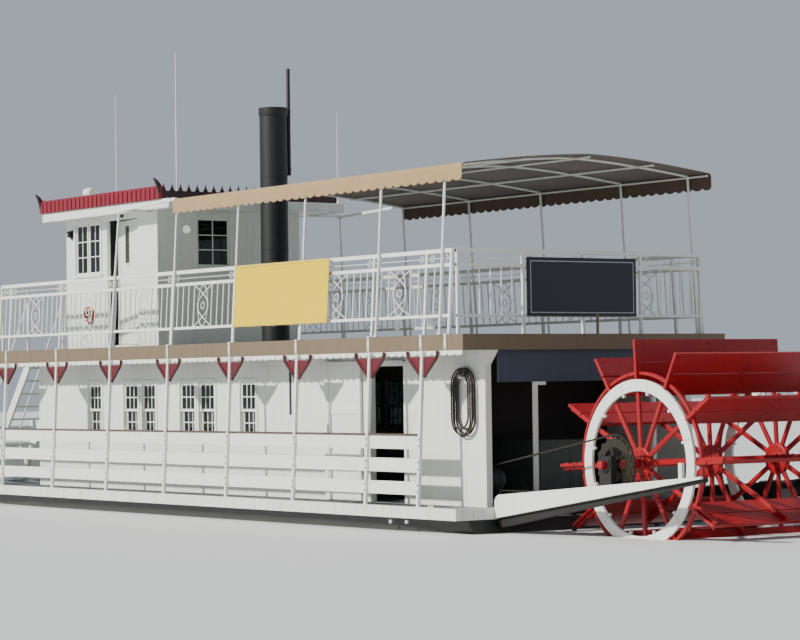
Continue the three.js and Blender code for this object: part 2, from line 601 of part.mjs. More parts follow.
piece('upper_rail_front_port', crossRail(UPPER_RAIL.crossFore, [1590, 2060]), WHITE);

// Blank sign board on the aft rail and blank vinyl sign on the port rail
const signFace = UPPER_RAIL.crossAft - UPPER_RAIL.size / 2;
piece('sign_board', box([signFace - 30, signFace - GAP], [-884, 960], [2778, 3553]), NAVY);
const BANNER = { aft: 3110, fore: 5556, bottom: 2760, top: 3650, thick: 4 };
const bannerY = (z) => canopyY(z) + 24;
piece('vinyl_sign', slab('x', [
  [bannerY(BANNER.bottom), BANNER.bottom], [bannerY(BANNER.bottom) + BANNER.thick, BANNER.bottom],
  [bannerY(BANNER.top) + BANNER.thick, BANNER.top], [bannerY(BANNER.top), BANNER.top],
], BANNER.aft, BANNER.fore), YELLOW);

// Canopy: leaning posts, bows and long tubes under one fabric cover
// Columns: y, z of the tubes' centre line under the cover, from the eave to the ridge
const BOW_LINE = [[2066, 4716], [1100, 4832], [0, 4898]];
function canopyFrame() {
  const over = BOW_LINE.slice(0, -1).map(([y, z]) => [-y, z]).reverse();
  const line = [...BOW_LINE, ...over];
  const bow = [...line.map(([y, z]) => [y, z + TUBE]), ...line.map(([y, z]) => [y, z - TUBE]).reverse()];
  const bodies = [];
  for (const x of CANOPY_POSTS) {
    bodies.push(slab('x', bow, x - TUBE, x + TUBE));
    for (const { sign } of SIDES) {
      bodies.push(leaning(canopyY, x, sign, FASCIA.top + GAP, UPPER_RAIL.top, TUBE));
      bodies.push(leaning(canopyY, x, sign, UPPER_RAIL.top, BOW_LINE[0][1], TUBE));
    }
  }
  for (const [y, z] of line) {
    bodies.push(box(
      [CANOPY.aft + 20, CANOPY.fore - 20], [y - TUBE + 2, y + TUBE - 2], [z - TUBE - 4, z + TUBE - 4]));
  }
  return join(bodies);
}
piece('canopy_frame', canopyFrame(), WHITE);

function canopyCover() {
  const { aft, fore, half, eave, ridge, hem, thick, scallop, depth } = CANOPY;
  const outer = [[half, hem], [half, eave], [1100, 4883], [0, ridge]];
  const inner = outer.map(([y, z], i) => [i < 2 ? y - thick : y, i < 1 ? z : z - thick]);
  const mirrored = (list) => list.slice(0, -1).map(([y, z]) => [-y, z]).reverse();
  return cut(slab('x', [...outer, ...mirrored(outer), ...[...inner, ...mirrored(inner)].reverse()], aft, fore),
    notches(aft, fore, hem, scallop, depth).map((outline) => slab('y', outline, -half - 10, half + 10)));
}
piece('canopy', canopyCover(), CANVAS);

// Pilothouse
const houseZ = [UPPER_DECK.top + GAP, HOUSE.top];
const HOUSE_WINDOW_Z = [3773, 4612];
for (const { name, sign } of SIDES) {
  const through = [sign * (HOUSE.half - HOUSE.wall - 10), sign * (HOUSE.half + 10)];
  const wall = box([HOUSE.aft, HOUSE.fore], [sign * (HOUSE.half - HOUSE.wall), sign * HOUSE.half], houseZ);
  piece(`pilothouse_wall_${name}`, cut(wall, [
    box([11100, 11932], through, HOUSE_WINDOW_Z),
    box([HOUSE_DOOR.aft, HOUSE_DOOR.fore], through, [HOUSE_DOOR.bottom, HOUSE_DOOR.top]),
  ]), WHITE);
}
const houseInner = HOUSE.half - HOUSE.wall - GAP;
piece('pilothouse_wall_aft', cut(
  box([HOUSE.aft, HOUSE.aft + HOUSE.wall], [-houseInner, houseInner], houseZ),
  [box([HOUSE.aft - 10, HOUSE.aft + 100], [0, 615], [3820, 4600])]), WHITE);
piece('pilothouse_wall_front', cut(
  box([HOUSE.fore - HOUSE.wall, HOUSE.fore], [-houseInner, houseInner], houseZ),
  [-840, 0, 840].map((y) =>
    box([HOUSE.fore - 100, HOUSE.fore + 10], [y - 340, y + 340], HOUSE_WINDOW_Z))), WHITE);

// The pilothouse doors turn inward about their aft edge; the port one is a little ajar
for (const { name, sign } of SIDES) {
  const length = HOUSE_DOOR.fore - HOUSE_DOOR.aft - 20;
  const hingeY = sign * (HOUSE.half - HOUSE.wall - 8);
  const geometry = new THREE.BoxGeometry(length, HOUSE_DOOR.thick, HOUSE_DOOR.top - HOUSE_DOOR.bottom - 16);
  const middle = (HOUSE_DOOR.top + HOUSE_DOOR.bottom) / 2;
  geometry.translate(length / 2 + 10, sign * (HOUSE_DOOR.thick / 2 + 2), middle);
  const turn = sign > 0 ? -HOUSE_DOOR.ajar : 0;
  geometry.rotateZ(THREE.MathUtils.degToRad(turn));
  geometry.translate(HOUSE_DOOR.aft, hingeY, 0);
  piece(`pilothouse_door_${name}`, solid(geometry), WHITE);
}

piece('pilothouse_roof', box([ROOF.aft, ROOF.fore], [-ROOF.half, ROOF.half], [ROOF.under, ROOF.top]), WHITE);

// The cresting: four boards round the roof's edge, their tops a row of spikes, and a horn on each corner
function crestingBody() {
  const low = ROOF.top + GAP;
  const board = (start, end) => {
    const count = Math.round((end - start) / CREST.pitch);
    const spikes = Array.from({ length: count }, (_, i) => start + ((end - start) * (i + 0.5)) / count)
      .flatMap((middle) =>
        [[middle - CREST.half, CREST.top], [middle, CREST.tip], [middle + CREST.half, CREST.top]]);
    return [[start, low], [start, CREST.top], ...spikes, [end, CREST.top], [end, low]];
  };
  const [aft, fore, half] = [CREST.aft, ROOF.fore + CREST.out, ROOF.half + CREST.out];
  const horns = [aft, fore - HORN_THICK].flatMap((x) =>
    SIDES.map(({ sign }) => slab('x', HORN.map(([y, z]) => [sign * y, z]), x, x + HORN_THICK)));
  return join([
    ...SIDES.map(({ sign }) => box([aft, fore], [sign * (half - CREST.thick), sign * half], [low, CREST.side])),
    slab('x', board(-half, half), aft, aft + CREST.thick),
    slab('x', board(-half, half), fore - CREST.thick, fore),
    ...horns,
  ]);
}
piece('roof_cresting', crestingBody(), RED);

const helmCentre = [11650, 3500];
piece('helm', join([
  box([11680, 11880], [-150, 150], [UPPER_DECK.top + GAP, 3600]),
  rod([11600, 0, helmCentre[1]], [11700, 0, helmCentre[1]], 30, 12),
  rod([11600, 0, helmCentre[1]], [11630, 0, helmCentre[1]], 330, 24)
    .subtract(rod([11590, 0, helmCentre[1]], [11640, 0, helmCentre[1]], 290, 24)),
  ...[0, 60, 120].map((degrees) => {
    const angle = THREE.MathUtils.degToRad(degrees);
    const [y, z] = [300 * Math.cos(angle), 300 * Math.sin(angle)];
    return rod([11615, -y, helmCentre[1] - z], [11615, y, helmCentre[1] + z], 13, 8);
  }),
]), OLIVE);

piece('searchlight', join([
  rod([12050, 1000, ROOF.top + GAP], [12050, 1000, 5120], 25, 12),
  box([11950, 12170], [910, 1090], [5085, 5255]),
]), WHITE);

// Funnel with its side pipe
function funnelBody() {
  const { x, radius, top } = FUNNEL;
  const profile = [
    [0, UPPER_DECK.top + GAP], [radius, UPPER_DECK.top + GAP], [radius, top - 120], [radius + 12, top - 110],
    [radius + 12, top], [radius - 15, top], [radius - 15, top - 300], [0, top - 300],
  ].map(([r, z]) => new THREE.Vector2(r, z));
  const geometry = new THREE.LatheGeometry(profile, 28);
  geometry.rotateX(Math.PI / 2);
  geometry.translate(x, 0, 0);
  const pipe = [x - 40, -radius - 45];
  return join([
    solid(geometry),
    rod([pipe[0], pipe[1], 5200], [pipe[0], pipe[1], 6880], 30, 12),
    ...[5300, 6200].map((z) => box([pipe[0] - 15, pipe[0] + 15], [pipe[1], -radius + 20], [z - 20, z + 20])),
  ]);
}
piece('funnel', funnelBody(), BLACK);

// Columns: name, x, y, bottom z, top z, radius
const ANTENNAS = [
  ['antenna_port', 8840, 1200, ROOF.top + GAP, 7150, 14],
  ['antenna_fore', 11320, 900, ROOF.top + GAP, 6750, 10],
  ['antenna_starboard', 8420, -1550, ROOF.top + GAP, 6300, 10],
];
for (const [name, x, y, z0, z1, radius] of ANTENNAS) {
  piece(name, rod([x, y, z0], [x, y, z1], radius, 6), WHITE);
}

// Rope hank on its peg by the port cabin corner
const HANK = { x: 570, halfWidth: 240, top: 2128, bottom: 1204, wire: 120, y0: 1765, y1: 1855 };
function stadium(half, top, bottom) {
  const arc = (cz, from) => Array.from({ length: 9 }, (_, i) => {
    const angle = from + (Math.PI * i) / 8;
    return [HANK.x + half * Math.cos(angle), cz + half * Math.sin(angle)];
  });
  return [...arc(top - half, 0), ...arc(bottom + half, Math.PI)];
}
piece('rope_hank', slab('y', stadium(HANK.halfWidth, HANK.top, HANK.bottom), HANK.y0, HANK.y1,
  stadium(HANK.halfWidth - HANK.wire, HANK.top - HANK.wire, HANK.bottom + HANK.wire)), ROPE);

export default boat;
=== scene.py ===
# %% [markdown]
# # A small stern-wheel paddle steamer
# The solid model gives the boat's pieces at their true size. This lesson gives them their looks: brushed
# enamel, canvas, vinyl and rope, the turned and sawn trim, the windows, and the red paddle wheel with its
# white rings. Lengths are in metres. X is measured along the boat from the upper deck's aft edge, Y to
# port, Z from the water.

# %% Load the solid model
import json
import math

import bmesh
import bpy
from mathutils import Matrix, Vector

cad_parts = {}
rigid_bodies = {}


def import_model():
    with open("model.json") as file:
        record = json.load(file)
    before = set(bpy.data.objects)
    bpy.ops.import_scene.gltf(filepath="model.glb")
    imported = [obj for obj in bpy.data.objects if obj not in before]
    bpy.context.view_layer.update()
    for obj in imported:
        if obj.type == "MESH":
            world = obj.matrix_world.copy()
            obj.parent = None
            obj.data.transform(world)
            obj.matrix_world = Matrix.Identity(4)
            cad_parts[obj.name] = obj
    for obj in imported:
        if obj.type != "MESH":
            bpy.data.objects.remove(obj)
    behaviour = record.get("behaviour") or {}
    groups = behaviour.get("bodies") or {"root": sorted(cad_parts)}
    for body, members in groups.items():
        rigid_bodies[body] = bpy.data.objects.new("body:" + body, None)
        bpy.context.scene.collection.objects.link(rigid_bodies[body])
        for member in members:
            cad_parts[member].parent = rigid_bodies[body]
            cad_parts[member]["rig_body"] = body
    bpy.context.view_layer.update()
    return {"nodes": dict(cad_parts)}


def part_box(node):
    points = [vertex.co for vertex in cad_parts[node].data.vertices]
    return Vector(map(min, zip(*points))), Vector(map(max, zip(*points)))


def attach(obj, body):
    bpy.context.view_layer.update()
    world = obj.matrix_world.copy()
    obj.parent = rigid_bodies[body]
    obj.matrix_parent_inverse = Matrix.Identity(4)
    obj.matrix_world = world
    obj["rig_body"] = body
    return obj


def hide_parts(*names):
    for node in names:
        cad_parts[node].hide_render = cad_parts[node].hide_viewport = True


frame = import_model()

AFT_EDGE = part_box("guard")[0].x
print("solid model:", len(frame["nodes"]), "nodes, aft edge at x =", round(AFT_EDGE, 3))


def at(x, y, z):
    """A point of the boat, with x measured from the upper deck's aft edge."""
    return Vector((x + AFT_EDGE, y, z))


# %% [markdown]
# ## The camera
# The photograph was taken from the port quarter, far away and close to the water, with a long lens. A
# camera can be aimed at a target by a constraint, but here its place, its line of sight and a slight roll
# are known, so its matrix is built from three axes and nothing has to be evaluated first.

# %% Camera at the photograph's viewing angle
CAMERA_PLACE = at(-26.809, 22.065, 1.95)
SIGHT = Vector((0.81744, -0.57554, 0.02338)).normalized()
ROLL = math.radians(0.791)
LENS_MM = 118.53

level_right = SIGHT.cross(Vector((0, 0, 1))).normalized()
level_up = level_right.cross(SIGHT)
camera_right = level_right * math.cos(ROLL) - level_up * math.sin(ROLL)
camera_up = level_right * math.sin(ROLL) + level_up * math.cos(ROLL)
lens = bpy.data.cameras.new("photo_camera")
lens.lens = LENS_MM
lens.sensor_width = 36.0
lens.clip_end = 400.0
camera = bpy.data.objects.new("photo_camera", lens)
camera.matrix_world = Matrix.Translation(CAMERA_PLACE) @ Matrix(
    (camera_right, camera_up, -SIGHT)).transposed().to_4x4()
bpy.context.scene.collection.objects.link(camera)
bpy.context.scene.camera = camera
print("camera is", round((CAMERA_PLACE - at(0, 0, 2)).length, 1), "m from the stern")

# %% [markdown]
# ## Meshes from a few outlines
# Most of this boat is sawn boards, tubes and turned rings. Each could be a primitive with modifiers. Here
# they are drawn into one mesh per piece with four small functions: a block, a pushed outline, a swept tube
# and a turned profile. A narrow bevel then softens every arris, as paint does on real wood.

# %% Four ways to draw a solid, and how it becomes a piece
BEVEL_ANGLE = math.radians(28)
FLAT_ANGLE = math.radians(0.6)
MERGE_DISTANCE = 1e-5


def prism(bm, outline, axis, start, end):
    """Pushes a flat outline along an axis. Outlines are (y, z) for x, (x, z) for y and (x, y) for z."""
    def place(a, b, along):
        return {"x": at(along, a, b), "y": at(a, along, b), "z": at(a, b, along)}[axis]
    rows = [[bm.verts.new(place(a, b, along)) for a, b in outline] for along in (start, end)]
    count = len(outline)
    faces = [bm.faces.new(rows[0]), bm.faces.new(rows[1][::-1])]
    for i in range(count):
        j = (i + 1) % count
        faces.append(bm.faces.new((rows[0][i], rows[1][i], rows[1][j], rows[0][j])))
    bmesh.ops.recalc_face_normals(bm, faces=faces)
    return faces


def block(bm, xs, ys, zs):
    """A box between pairs of x, y and z."""
    return prism(bm, [(xs[0], zs[0]), (xs[1], zs[0]), (xs[1], zs[1]), (xs[0], zs[1])], "y", *ys)


def sweep(bm, path, section, closed=False, turns=None):
    """Sweeps a section of (right, up) offsets along points. Turns can give each ring its own angle."""
    count = len(path)
    rings = []
    normal = None
    for i, point in enumerate(path):
        before = path[i - 1] if closed or i else path[0]
        after = path[(i + 1) % count] if closed or i + 1 < count else path[-1]
        tangent = (after - before).normalized()
        if normal is None:
            seed = Vector((0, 0, 1)) if abs(tangent.z) < 0.9 else Vector((0, 1, 0))
            normal = tangent.cross(seed).normalized()
        normal = (normal - tangent * normal.dot(tangent)).normalized()
        other = tangent.cross(normal)
        spin = turns[i] if turns else 0.0
        c, s = math.cos(spin), math.sin(spin)
        rings.append([bm.verts.new(point + normal * (a * c - b * s) + other * (a * s + b * c))
                      for a, b in section])
    sides = len(section)
    faces = []
    for i in range(count if closed else count - 1):
        near, far = rings[i], rings[(i + 1) % count]
        for k in range(sides):
            m = (k + 1) % sides
            faces.append(bm.faces.new((near[k], far[k], far[m], near[m])))
    if not closed:
        faces += [bm.faces.new(rings[0]), bm.faces.new(rings[-1][::-1])]
    bmesh.ops.recalc_face_normals(bm, faces=faces)
    return faces


def circle(radius, sides=10):
    """A round section."""
    return [(radius * math.cos(2 * math.pi * k / sides), radius * math.sin(2 * math.pi * k / sides))
            for k in range(sides)]


def tube(bm, path, radius, sides=10, closed=False):
    """A round tube or bar along points."""
    return sweep(bm, path, circle(radius, sides), closed)


def turned(bm, centre, axis, profile, sides=32):
    """Turns a profile of (distance along the axis, radius) about an axis through the centre."""
    along = Vector(axis).normalized()
    side = along.orthogonal().normalized()
    other = along.cross(side)
    rings = []
    for offset, radius in profile:
        middle = centre + along * offset
        if radius < 1e-6:
            rings.append([bm.verts.new(middle)])
            continue
        rings.append([bm.verts.new(middle + (side * math.cos(a) + other * math.sin(a)) * radius)
                      for a in (2 * math.pi * k / sides for k in range(sides))])
    faces = []
    for near, far in zip(rings, rings[1:]):
        for k in range(sides):
            m = (k + 1) % sides
            corners = [near[k % len(near)], far[k % len(far)], far[m % len(far)], near[m % len(near)]]
            faces.append(bm.faces.new(list(dict.fromkeys(corners))))
    for ring in (rings[0], rings[-1]):
        if len(ring) > 1:
            faces.append(bm.faces.new(ring))
    bmesh.ops.recalc_face_normals(bm, faces=faces)
    return faces


def add_object(name, data):
    """A new object in the scene."""
    thing = bpy.data.objects.new(name, data)
    bpy.context.scene.collection.objects.link(thing)
    return thing


def kept_mesh(name, bm):
    """A mesh from a drawing."""
    mesh = bpy.data.meshes.new(name)
    bm.to_mesh(mesh)
    bm.free()
    return mesh


def finish_piece(name, shape, material, bevel=0.0, replaced=(), body="boat", smooth=True):
    """Turns a drawing or a mesh into a piece of the boat that rides on a body."""
    mesh = kept_mesh(name, shape) if isinstance(shape, bmesh.types.BMesh) else shape
    piece = add_object(name, mesh)
    if not mesh.materials:
        mesh.materials.append(material)
    if smooth:
        mesh.shade_smooth()
        mesh.set_sharp_from_angle(angle=BEVEL_ANGLE)
    if bevel:
        edge = piece.modifiers.new("soft_arris", "BEVEL")
        edge.width = bevel
        edge.segments = 2
        edge.limit_method = "ANGLE"
        edge.angle_limit = BEVEL_ANGLE
        edge.harden_normals = smooth
    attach(piece, body)
    if replaced:
        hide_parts(*replaced)
    return piece


def softened(node, material, bevel):
    """A copy of a solid with its loose triangles merged and its arrises softened, in place of the solid."""
    source = frame["nodes"][node]
    bm = bmesh.new()
    bm.from_mesh(source.data)
    bmesh.ops.remove_doubles(bm, verts=bm.verts, dist=MERGE_DISTANCE)
    bmesh.ops.dissolve_limit(bm, angle_limit=FLAT_ANGLE, verts=bm.verts, edges=bm.edges)
    finish_piece(node + "_finished", bm, material, bevel, (node,), source["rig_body"])


# %% [markdown]
# ## Colours and nodes
# Paint chips are given as sRGB hex values, as a colour picker shows them, but shaders work in linear light,
# so one function converts them. Another adds any node to any tree, with its settings and with its inputs,
# which are plain values or other nodes' outputs. A few short ones add the nodes that the finishes share.

# %% Colour and node helpers
MILLIMETRE = 0.001


def linear(hex_colour):
    """An sRGB hex colour in linear light, with alpha."""
    channels = [int(hex_colour[i:i + 2], 16) / 255 for i in (1, 3, 5)]
    return [c / 12.92 if c <= 0.04045 else ((c + 0.055) / 1.055) ** 2.4 for c in channels] + [1.0]


def put(tree, kind, inputs=None, **settings):
    """Adds one node. Settings are its properties, inputs are values or other nodes' outputs."""
    node = tree.nodes.new(kind)
    for key, value in settings.items():
        setattr(node, key, value)
    for key, value in (inputs or {}).items():
        if isinstance(value, bpy.types.NodeSocket):
            tree.links.new(value, node.inputs[key])
        else:
            node.inputs[key].default_value = value
    return node


def per_metre(size_mm):
    """How many times a pattern of that size fits in a metre, which is what a texture's scale wants."""
    return 1.0 / (size_mm * MILLIMETRE)


def noise(tree, place, size_mm, detail=2.0, roughness=0.5):
    """Clouds of about that size."""
    return put(tree, "ShaderNodeTexNoise", {"Vector": place, "Scale": per_metre(size_mm), "Detail": detail,
                                            "Roughness": roughness}).outputs["Fac"]


def ranged(tree, value, low, high, start=0.0, end=1.0):
    """Start where the value is low, end where it is high, and even between."""
    return put(tree, "ShaderNodeMapRange", {"Value": value, "From Min": low, "From Max": high,
                                            "To Min": start, "To Max": end}).outputs["Result"]


def calc(tree, operation, *numbers):
    """Arithmetic on values or outputs."""
    return put(tree, "ShaderNodeMath", dict(enumerate(numbers)), operation=operation).outputs[0]


def mixed(tree, share, first, second):
    """The first colour going over to the second. Each is a hex value or an output."""
    ends = [linear(c) if isinstance(c, str) else c for c in (first, second)]
    return put(tree, "ShaderNodeMix", {0: share, 6: ends[0], 7: ends[1]}, data_type="RGBA").outputs[2]


def start_material(name, colour, roughness, **sockets):
    """A material with one Principled shader. Returns the material, its tree and the shader."""
    material = bpy.data.materials.new(name)
    material.use_nodes = True
    tree = material.node_tree
    shader = tree.nodes["Principled BSDF"]
    shader.inputs["Base Color"].default_value = linear(colour)
    shader.inputs["Roughness"].default_value = roughness
    for key, value in sockets.items():
        shader.inputs[key.replace("_", " ")].default_value = value
    return material, tree, shader


def object_place(tree):
    """Where a point is on the piece, in metres."""
    return put(tree, "ShaderNodeTexCoord").outputs["Object"]


def dress(tree, shader, shade, height, strength, depth_mm, gloss=None):
    """Joins a shade, a bump of that depth and any varying roughness to the shader."""
    bump = put(tree, "ShaderNodeBump", {"Height": height, "Strength": strength,
                                        "Distance": depth_mm * MILLIMETRE})
    tree.links.new(shade, shader.inputs["Base Color"])
    tree.links.new(bump.outputs["Normal"], shader.inputs["Normal"])
    if gloss:
        tree.links.new(gloss, shader.inputs["Roughness"])


print("ten helpers; mid grey in linear light is", round(linear("#808080")[0], 3))

# %% [markdown]
# ## Enamel paint
# The boat is alkyd enamel brushed on boards and steel. Real enamel shows three things: a slow drift in
# shade where it has chalked, thin grime that rain draws straight down, and brush marks. One function mixes
# all three, and each colour of the boat gets its own material from it. The brush marks are a few
# millimetres wide, too fine for the whole-boat view, so they are only bump.

# %% Brushed enamel
CHALK_MM = 900
RUN_MM = (70, 70, 900)
BRUSH_MM = 9
BOARD_JOINT = 0.005


def brushed_enamel(name, colour, chalk, grime, roughness=0.42, grime_amount=0.5, board_mm=0):
    """Enamel with chalked patches, rain-drawn grime and brush marks, and joints between boards if asked."""
    material, tree, shader = start_material(name, colour, roughness)
    place = object_place(tree)
    patch = noise(tree, place, CHALK_MM, 5.0, 0.62)
    drawn = put(tree, "ShaderNodeMapping", {"Vector": place, "Scale": [per_metre(mm) for mm in RUN_MM]})
    runs = noise(tree, drawn.outputs["Vector"], 1000, 4.0, 0.7)
    stain = ranged(tree, runs, 0.53, 0.78, 0.0, grime_amount)
    shade = mixed(tree, stain, mixed(tree, patch, colour, chalk), grime)
    height = noise(tree, place, BRUSH_MM)
    if board_mm:
        along = put(tree, "ShaderNodeSeparateXYZ", {"Vector": place}).outputs["X"]
        joint = ranged(tree, calc(tree, "PINGPONG", along, board_mm * MILLIMETRE), 0.0, BOARD_JOINT, 1.0, 0.0)
        shade = mixed(tree, calc(tree, "MULTIPLY", joint, 0.45), shade, grime)
        height = calc(tree, "ADD", calc(tree, "MULTIPLY", joint, -6.0), height)
    gloss = ranged(tree, patch, 0.0, 1.0, roughness - 0.08, roughness + 0.14)
    dress(tree, shader, shade, height, 0.35, 0.6, gloss)
    return material


WHITE_ENAMEL = brushed_enamel("white_enamel_on_wood", "#e9eae4", "#dcded7", "#9a9c8e", grime_amount=0.28)
SIDING = brushed_enamel("white_enamel_on_boards", "#e8e9e3", "#dadcd5", "#93968a", grime_amount=0.3,
                        board_mm=100)
GUARD_ENAMEL = brushed_enamel("white_enamel_on_steel", "#e2e3dd", "#d0d2ca", "#7d7764", grime_amount=0.6)
RED_ENAMEL = brushed_enamel("red_enamel_on_wood", "#a60b14", "#840a12", "#32070a", 0.38, 0.7)
# The arms' dark red is painted shade of the red brackets; the panels keep a lighter red.
BRACKET_RED_SHADED = brushed_enamel("red_enamel_on_brackets_darkened_as_shade", "#4b0e15", "#410c12", "#1e080a")
PANEL_RED = brushed_enamel("red_enamel_on_bracket_panels", "#64171f", "#57131a", "#2a0c0c")
CRESTING_RED = brushed_enamel("red_enamel_on_sheet_iron", "#84182a", "#711525", "#360d16", 0.45)
# A dark copy of the cresting red, as painted shade on the end bands, spikes and horns.
CREST_RED_SHADED = brushed_enamel("crest_red_darkened_as_shade", "#3a141d", "#301018", "#160a0d", 0.5)
# The stern bay's bulkhead is painted near black as the deep shade inside the bay.
BAY_SHADE_BLACK = brushed_enamel("near_black_paint_as_stern_bay_shade", "#2a2421", "#231e1b", "#0f0d0b", 0.6)
BORDER_LINE = brushed_enamel("pale_line_enamel", "#aeb3bb", "#9ba1aa", "#5a5e66", 0.35)
TAN_PAINT = brushed_enamel("tan_enamel_on_boards", "#766550", "#6c5c48", "#463c2e", 0.55, 0.45)
NAVY_PAINT = brushed_enamel("navy_signboard_enamel", "#0f131d", "#151b28", "#08090e", 0.3)
# A dark blue-grey for the stern header: partly its own paint, partly painted shade of its aft face.
SHADE_BLUE = brushed_enamel("blue_grey_enamel_darkened_as_shade", "#3f4759", "#373e4e", "#21252f", 0.5)
BLACK_ENAMEL = brushed_enamel("black_enamel", "#16171a", "#222326", "#3b342e", 0.4, 0.4)
STACK_BLACK = brushed_enamel("black_stove_enamel", "#0c0d0f", "#151618", "#2a2320", 0.5, 0.7)
TIMBER_BLACK = brushed_enamel("tarred_timber", "#100f0d", "#1b1915", "#070606", 0.7, 0.6)
ENGINE_GREY = brushed_enamel("grey_engine_enamel", "#59605c", "#4d5350", "#1f1d19", 0.45, 0.8)
print("enamels:", len(bpy.data.materials), "such as", WHITE_ENAMEL.name, RED_ENAMEL.name, TAN_PAINT.name)

# %% [markdown]
# ## The hull's black and the deck's grey
# The hull is welded steel plate under black enamel, with red-brown antifouling below the water. The eye
# reads three things on it: a satin black with dull scuffs, the faint seams of the plates, and a pale tide
# line of dried salt and weed just above the water. All three follow the height and length of the hull. The
# decks have grey paint with sand in it.

# %% Hull enamel and deck paint
PLATE_MM = 1800
PLATE_SEAM = 0.012
TIDE_TOP, TIDE_FOOT = 0.07, -0.03
FOULING_TOP, FOULING_FULL = -0.05, -0.09


def hull_enamel(name, black, scuffed, tide, fouling):
    """Satin black above the water with a tide line, antifouling below it, and seams between plates."""
    material, tree, shader = start_material(name, black, 0.4)
    place = object_place(tree)
    axes = put(tree, "ShaderNodeSeparateXYZ", {"Vector": place}).outputs
    scuff = noise(tree, place, 350, 6.0, 0.7)
    shade = mixed(tree, ranged(tree, scuff, 0.5, 0.8, 0.0, 0.35), black, scuffed)
    height = calc(tree, "SUBTRACT", axes["Z"], calc(tree, "MULTIPLY", scuff, 0.07))
    shade = mixed(tree, ranged(tree, height, TIDE_TOP, TIDE_FOOT, 0.0, 0.55), shade, tide)
    shade = mixed(tree, ranged(tree, height, FOULING_TOP, FOULING_FULL), shade, fouling)
    seam = ranged(tree, calc(tree, "PINGPONG", axes["X"], PLATE_MM * MILLIMETRE), 0.0, PLATE_SEAM, 1.0, 0.0)
    dents = noise(tree, place, 700, 1.0)
    gloss = ranged(tree, scuff, 0.0, 1.0, 0.3, 0.6)
    dress(tree, shader, shade, calc(tree, "MULTIPLY_ADD", dents, 6.0, seam), 0.5, 3.0, gloss)
    return material


def gritted_paint(name, colour, worn, grit_mm):
    """Deck paint with sand in it, worn lighter where people walk."""
    material, tree, shader = start_material(name, colour, 0.8)
    place = object_place(tree)
    path = ranged(tree, noise(tree, place, 1100, 6.0, 0.65), 0.42, 0.66)
    dress(tree, shader, mixed(tree, path, colour, worn), noise(tree, place, grit_mm, 1.0), 0.5, 1.2)
    return material


HULL_BLACK = hull_enamel("black_enamel_on_steel_plate", "#17181b", "#3a3b3c", "#4c4f42", "#4e211c")
DECK_PAINT = gritted_paint("grey_non_slip_deck_paint", "#6f7473", "#8b8f8c", 14)
print("plates are", PLATE_MM, "mm long, the tide line ends", TIDE_TOP, "m above the water")

# %% [markdown]
# ## Canvas, vinyl and rope
# The canopy is woven acrylic canvas: matt and a little uneven where the sun has bleached it. Its underside is
# painted darker as shade. Its threads are under a millimetre, so the weave is drawn about six times as coarse
# to show up close. The sign is reinforced vinyl: smooth and slightly glossy, with the grid of its scrim just
# visible.
# Both follow the sheet's own UV map, which is laid out in metres.

# %% Cloth and rope materials
WEAVE_MM, SCRIM_MM, FIBRE_MM = 6, 9, 7
FADE_MM = 1000 / 1.7
WAVES_PER_SCALE = 20


def woven(name, colour, bleached, thread_mm, roughness, strength, sheen):
    """A cloth whose over-and-under weave follows a UV map in metres."""
    material, tree, shader = start_material(name, colour, roughness, Sheen_Weight=sheen,
                                            Sheen_Roughness=0.6)
    uv = put(tree, "ShaderNodeUVMap", uv_map="flat").outputs["UV"]
    wefts, warps = (put(tree, "ShaderNodeTexWave",
                        {"Vector": uv, "Scale": per_metre(thread_mm) / WAVES_PER_SCALE},
                        bands_direction=way).outputs["Fac"] for way in ("X", "Y"))
    shade = mixed(tree, noise(tree, uv, FADE_MM, 5.0, 0.6), colour, bleached)
    dress(tree, shader, shade, calc(tree, "MAXIMUM", wefts, warps), strength, 0.8)
    return material


def laid_rope(name, colour, worn):
    """Tarred three-strand rope: dark in the grooves, dusty on the crowns, by its own crown attribute."""
    material, tree, shader = start_material(name, colour, 0.85, Sheen_Weight=0.2)
    crown = put(tree, "ShaderNodeAttribute", attribute_name="crown").outputs["Fac"]
    fibre = noise(tree, object_place(tree), FIBRE_MM, 3.0)
    dress(tree, shader, mixed(tree, calc(tree, "MULTIPLY", crown, fibre), colour, worn), fibre, 0.6, 1.5)
    return material


CANVAS = woven("tan_acrylic_canvas", "#957a4e", "#a4885a", WEAVE_MM, 0.88, 0.5, 0.25)
# The underside's darker brown is painted shade on the same tan canvas.
CANVAS_SHADED_UNDER = woven("tan_canvas_underside_painted_in_shade", "#513f33", "#5e4b3d", WEAVE_MM, 0.9, 0.5, 0.1)
VINYL = woven("yellow_reinforced_vinyl", "#e8c800", "#dfbd00", SCRIM_MM, 0.42, 0.12, 0.0)
ROPE = laid_rope("tarred_three_strand_rope", "#1d1714", "#5a463a")
print("cloths:", CANVAS.name, VINYL.name)

# %% [markdown]
# ## Glass, metal, plastic and wood
# The small fittings need few tricks. Window glass is tinted near black as painted shade of the rooms behind.
# Galvanised steel is mottled grey, the drive chain is oiled steel, the helm is varnished mahogany, and the
# whip aerials are white glass fibre. Each starts from the usual values for its stuff.

# %% Fittings' materials


def mottled(name, colour, other, spot_mm, roughness, metallic=0.0):
    """Cast, galvanised or moulded stuff with two near shades and a fine unevenness."""
    material, tree, shader = start_material(name, colour, roughness, Metallic=metallic)
    spots = noise(tree, object_place(tree), spot_mm, 3.0)
    dress(tree, shader, mixed(tree, spots, colour, other), spots, 0.4, 0.3)
    return material


